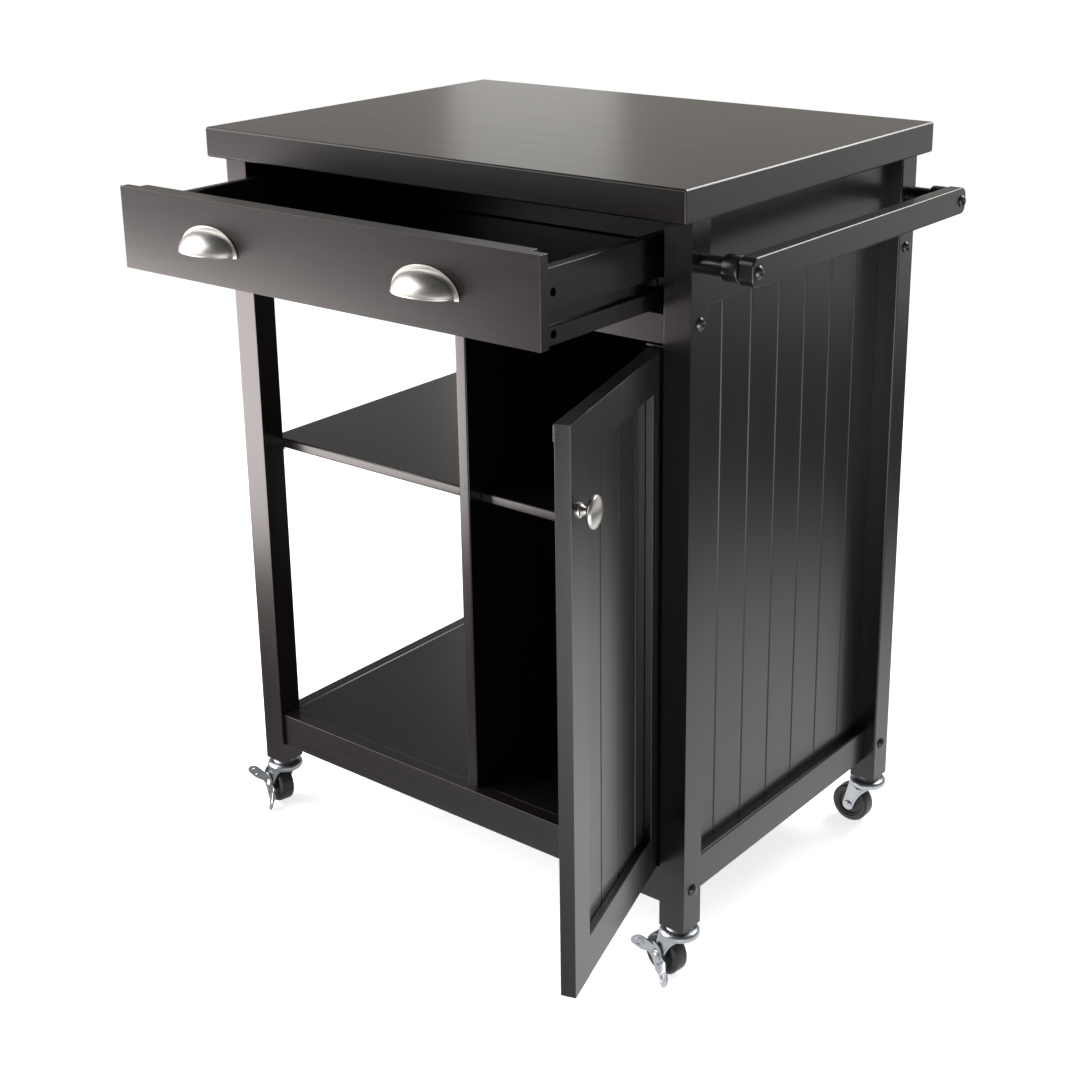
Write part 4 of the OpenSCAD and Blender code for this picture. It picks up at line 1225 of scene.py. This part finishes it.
def build_floor(nodes):
    """Matt sheet that keeps the cart's shadow, white to the eye, with painted light patches that glow only
    in reflections.
    """
    stage = bpy.context.scene.cart_stage
    nodes.tree.nodes.remove(nodes.shader)
    sheet = nodes.add("ShaderNodeBsdfDiffuse")
    coord = nodes.add("ShaderNodeTexCoord")
    grain = nodes.pattern(nodes.coords(), Scale=3.0, Detail=3.0)
    tone = nodes.ramp(grain, "Fac", [(0.3, times(stage.floor_colour, 0.99)), (0.7, stage.floor_colour)])
    nodes.link(tone, "Color", sheet, "Color")
    patches = [painted_floor_patch(nodes, coord, at, levels) for at, levels in
               ((stage.pool_at, PAINTED_POOL), (PAINTED_FAR_PATCH, PAINTED_FAR_LEVELS), (PAINTED_EDGE_PATCH, PAINTED_EDGE_LEVELS))]
    level = patches[0]
    for patch in patches[1:]:
        level = joined(nodes, "ShaderNodeMath", level, patch, operation="ADD")
    path = nodes.add("ShaderNodeLightPath")
    lift = nodes.add("ShaderNodeMath", operation="MULTIPLY")
    nodes.link(seen_plainly(nodes, path), 0, lift, 0)
    lift.inputs[1].default_value = stage.floor_lift
    glow = nodes.add("ShaderNodeEmission")
    nodes.link(lift, 0, glow, "Strength")
    lit = joined(nodes, "ShaderNodeAddShader", sheet, glow)
    # Painted light: reflected rays see the floor glow with the patches' levels, though no lamp lights those
    # places.
    mirrored = nodes.add("ShaderNodeEmission")
    nodes.link(level, 0, mirrored, "Strength")
    shown = choice(nodes, path, "Is Glossy Ray", lit, mirrored)
    nodes.link(shown, 0, nodes.tree.nodes["Material Output"], "Surface")


def add_lamp(name, place_at, look_at, width, height, power, colour=(1, 1, 1), roll=0):
    """Rectangular softbox of that power in watts, aimed at a point and turned about its own axis."""
    data = bpy.data.lights.new(name, "AREA")
    data.shape = "RECTANGLE"
    data.size, data.size_y = width, height
    data.energy = power
    data.color = colour
    lamp = bpy.data.objects.new(name, data)
    bpy.context.scene.collection.objects.link(lamp)
    lamp.location = place_at
    aim = (Vector(look_at) - Vector(place_at)).to_track_quat("-Z", "Y").to_matrix()
    lamp.rotation_euler = (aim @ Matrix.Rotation(math.radians(roll), 3, "Z")).to_euler()
    lamp.visible_camera = False


def build_world(level):
    """Even light, seen white by the eye and as a studio wall that darkens upward in reflections."""
    world = bpy.data.worlds.new("studio")
    bpy.context.scene.world = world
    world.use_nodes = True
    nodes = Nodes(world.node_tree)
    nodes.tree.nodes.clear()
    path = nodes.add("ShaderNodeLightPath")
    even = nodes.add("ShaderNodeBackground", Strength=level)
    white = nodes.add("ShaderNodeBackground", Color=(1, 1, 1, 1), Strength=1.0)
    height = nodes.add("ShaderNodeSeparateXYZ")
    nodes.link(nodes.add("ShaderNodeTexCoord"), "Generated", height, "Vector")
    wall = nodes.add("ShaderNodeBackground", Strength=1.0)
    nodes.link(nodes.ramp(height, "Z", WALL_TONES), "Color", wall, "Color")
    mirrored = choice(nodes, path, "Is Glossy Ray", even, wall)
    shown = choice(nodes, seen_plainly(nodes, path), 0, mirrored, white)
    nodes.link(shown, 0, nodes.add("ShaderNodeOutputWorld"), "Surface")


def add_camera(stage):
    data = bpy.data.cameras.new("camera")
    data.sensor_width = 36
    data.lens = stage.lens
    data.shift_x, data.shift_y = stage.shift
    data.clip_start, data.clip_end = 0.05, 60
    camera = bpy.data.objects.new("camera", data)
    bpy.context.scene.collection.objects.link(camera)
    azimuth, elevation = stage.camera_azimuth, stage.camera_elevation
    back = Vector((math.sin(azimuth) * math.cos(elevation), -math.cos(azimuth) * math.cos(elevation),
                   math.sin(elevation)))
    aim = facing((0, 0, 0), back) @ Matrix.Rotation(-stage.camera_roll, 4, "Z")
    camera.matrix_world = Matrix.Translation(stage.camera_at) @ aim
    bpy.context.scene.camera = camera


class CART_OT_stage(bpy.types.Operator):
    """Adds the floor, the lamps, the world and the camera"""
    bl_idname = "cart.stage"
    bl_label = "Stage"

    def execute(self, context):
        stage = context.scene.cart_stage
        bpy.ops.mesh.primitive_plane_add(size=FLOOR_SIZE, location=(0, 0, -FLOOR_DROP))
        floor = context.active_object
        floor.name = floor.data.name = "studio_floor"
        settle(floor)
        coat(floor, material("studio floor", build_floor))
        build_world(stage.world_level)
        add_lamp("softbox_low_left", (-1.00, -0.86, 0.305), (-0.257, -0.191, 0.305), 1.0, 0.59, 17.5,
                 colour=(1, 0.93, 0.92), roll=-21)
        add_lamp("softbox_back", (-1.77, 2.12, 1.42), (0.11, -0.17, 0.91), 0.45, 0.7, 0.68)
        add_lamp("softbox_front_left", (-1.55, -1.30, 1.70), (-0.1, -0.4, 0.9), 2.2, 1.7, 42)
        add_lamp("softbox_high_back", (0.75, 1.75, 2.15), (0.2, -0.2, 0.8), 1.5, 0.9, 40)
        add_camera(stage)
        context.scene.view_settings.view_transform = "Standard"
        return {"FINISHED"}


STEPS = (
    CART_OT_stage, CART_OT_worktop, CART_OT_frame_boards, CART_OT_side_panel, CART_OT_towel_bar,
    CART_OT_drawer, CART_OT_door, CART_OT_bolts, CART_OT_fasteners, CART_OT_cup_pulls, CART_OT_knob,
    CART_OT_caster_stems, CART_OT_forks, CART_OT_wheels, CART_OT_brake_pedals,
)


class CART_PT_panel(bpy.types.Panel):
    """Lists the cart's pieces and settings"""
    bl_label = "Rolling Kitchen Cart"
    bl_space_type = "VIEW_3D"
    bl_region_type = "UI"
    bl_category = "Cart"

    def draw(self, context):
        for name in SETTINGS:
            group = getattr(context.scene, name)
            box = self.layout.box()
            for key in group.bl_rna.properties.keys():
                if key not in ("rna_type", "name"):
                    box.prop(group, key)
        for step in STEPS:
            self.layout.operator(step.bl_idname)


def register():
    for name, group in SETTINGS.items():
        bpy.utils.register_class(group)
        setattr(bpy.types.Scene, name, bpy.props.PointerProperty(type=group))
    for cls in (*STEPS, CART_PT_panel):
        bpy.utils.register_class(cls)


def unregister():
    for cls in reversed((*STEPS, CART_PT_panel)):
        bpy.utils.unregister_class(cls)
    for name, group in SETTINGS.items():
        delattr(bpy.types.Scene, name)
        bpy.utils.unregister_class(group)


def main():
    register()
    for step in STEPS:
        group, name = step.bl_idname.split(".")
        getattr(getattr(bpy.ops, group), name)()
    deselect()


if __name__ == "__main__":
    main()
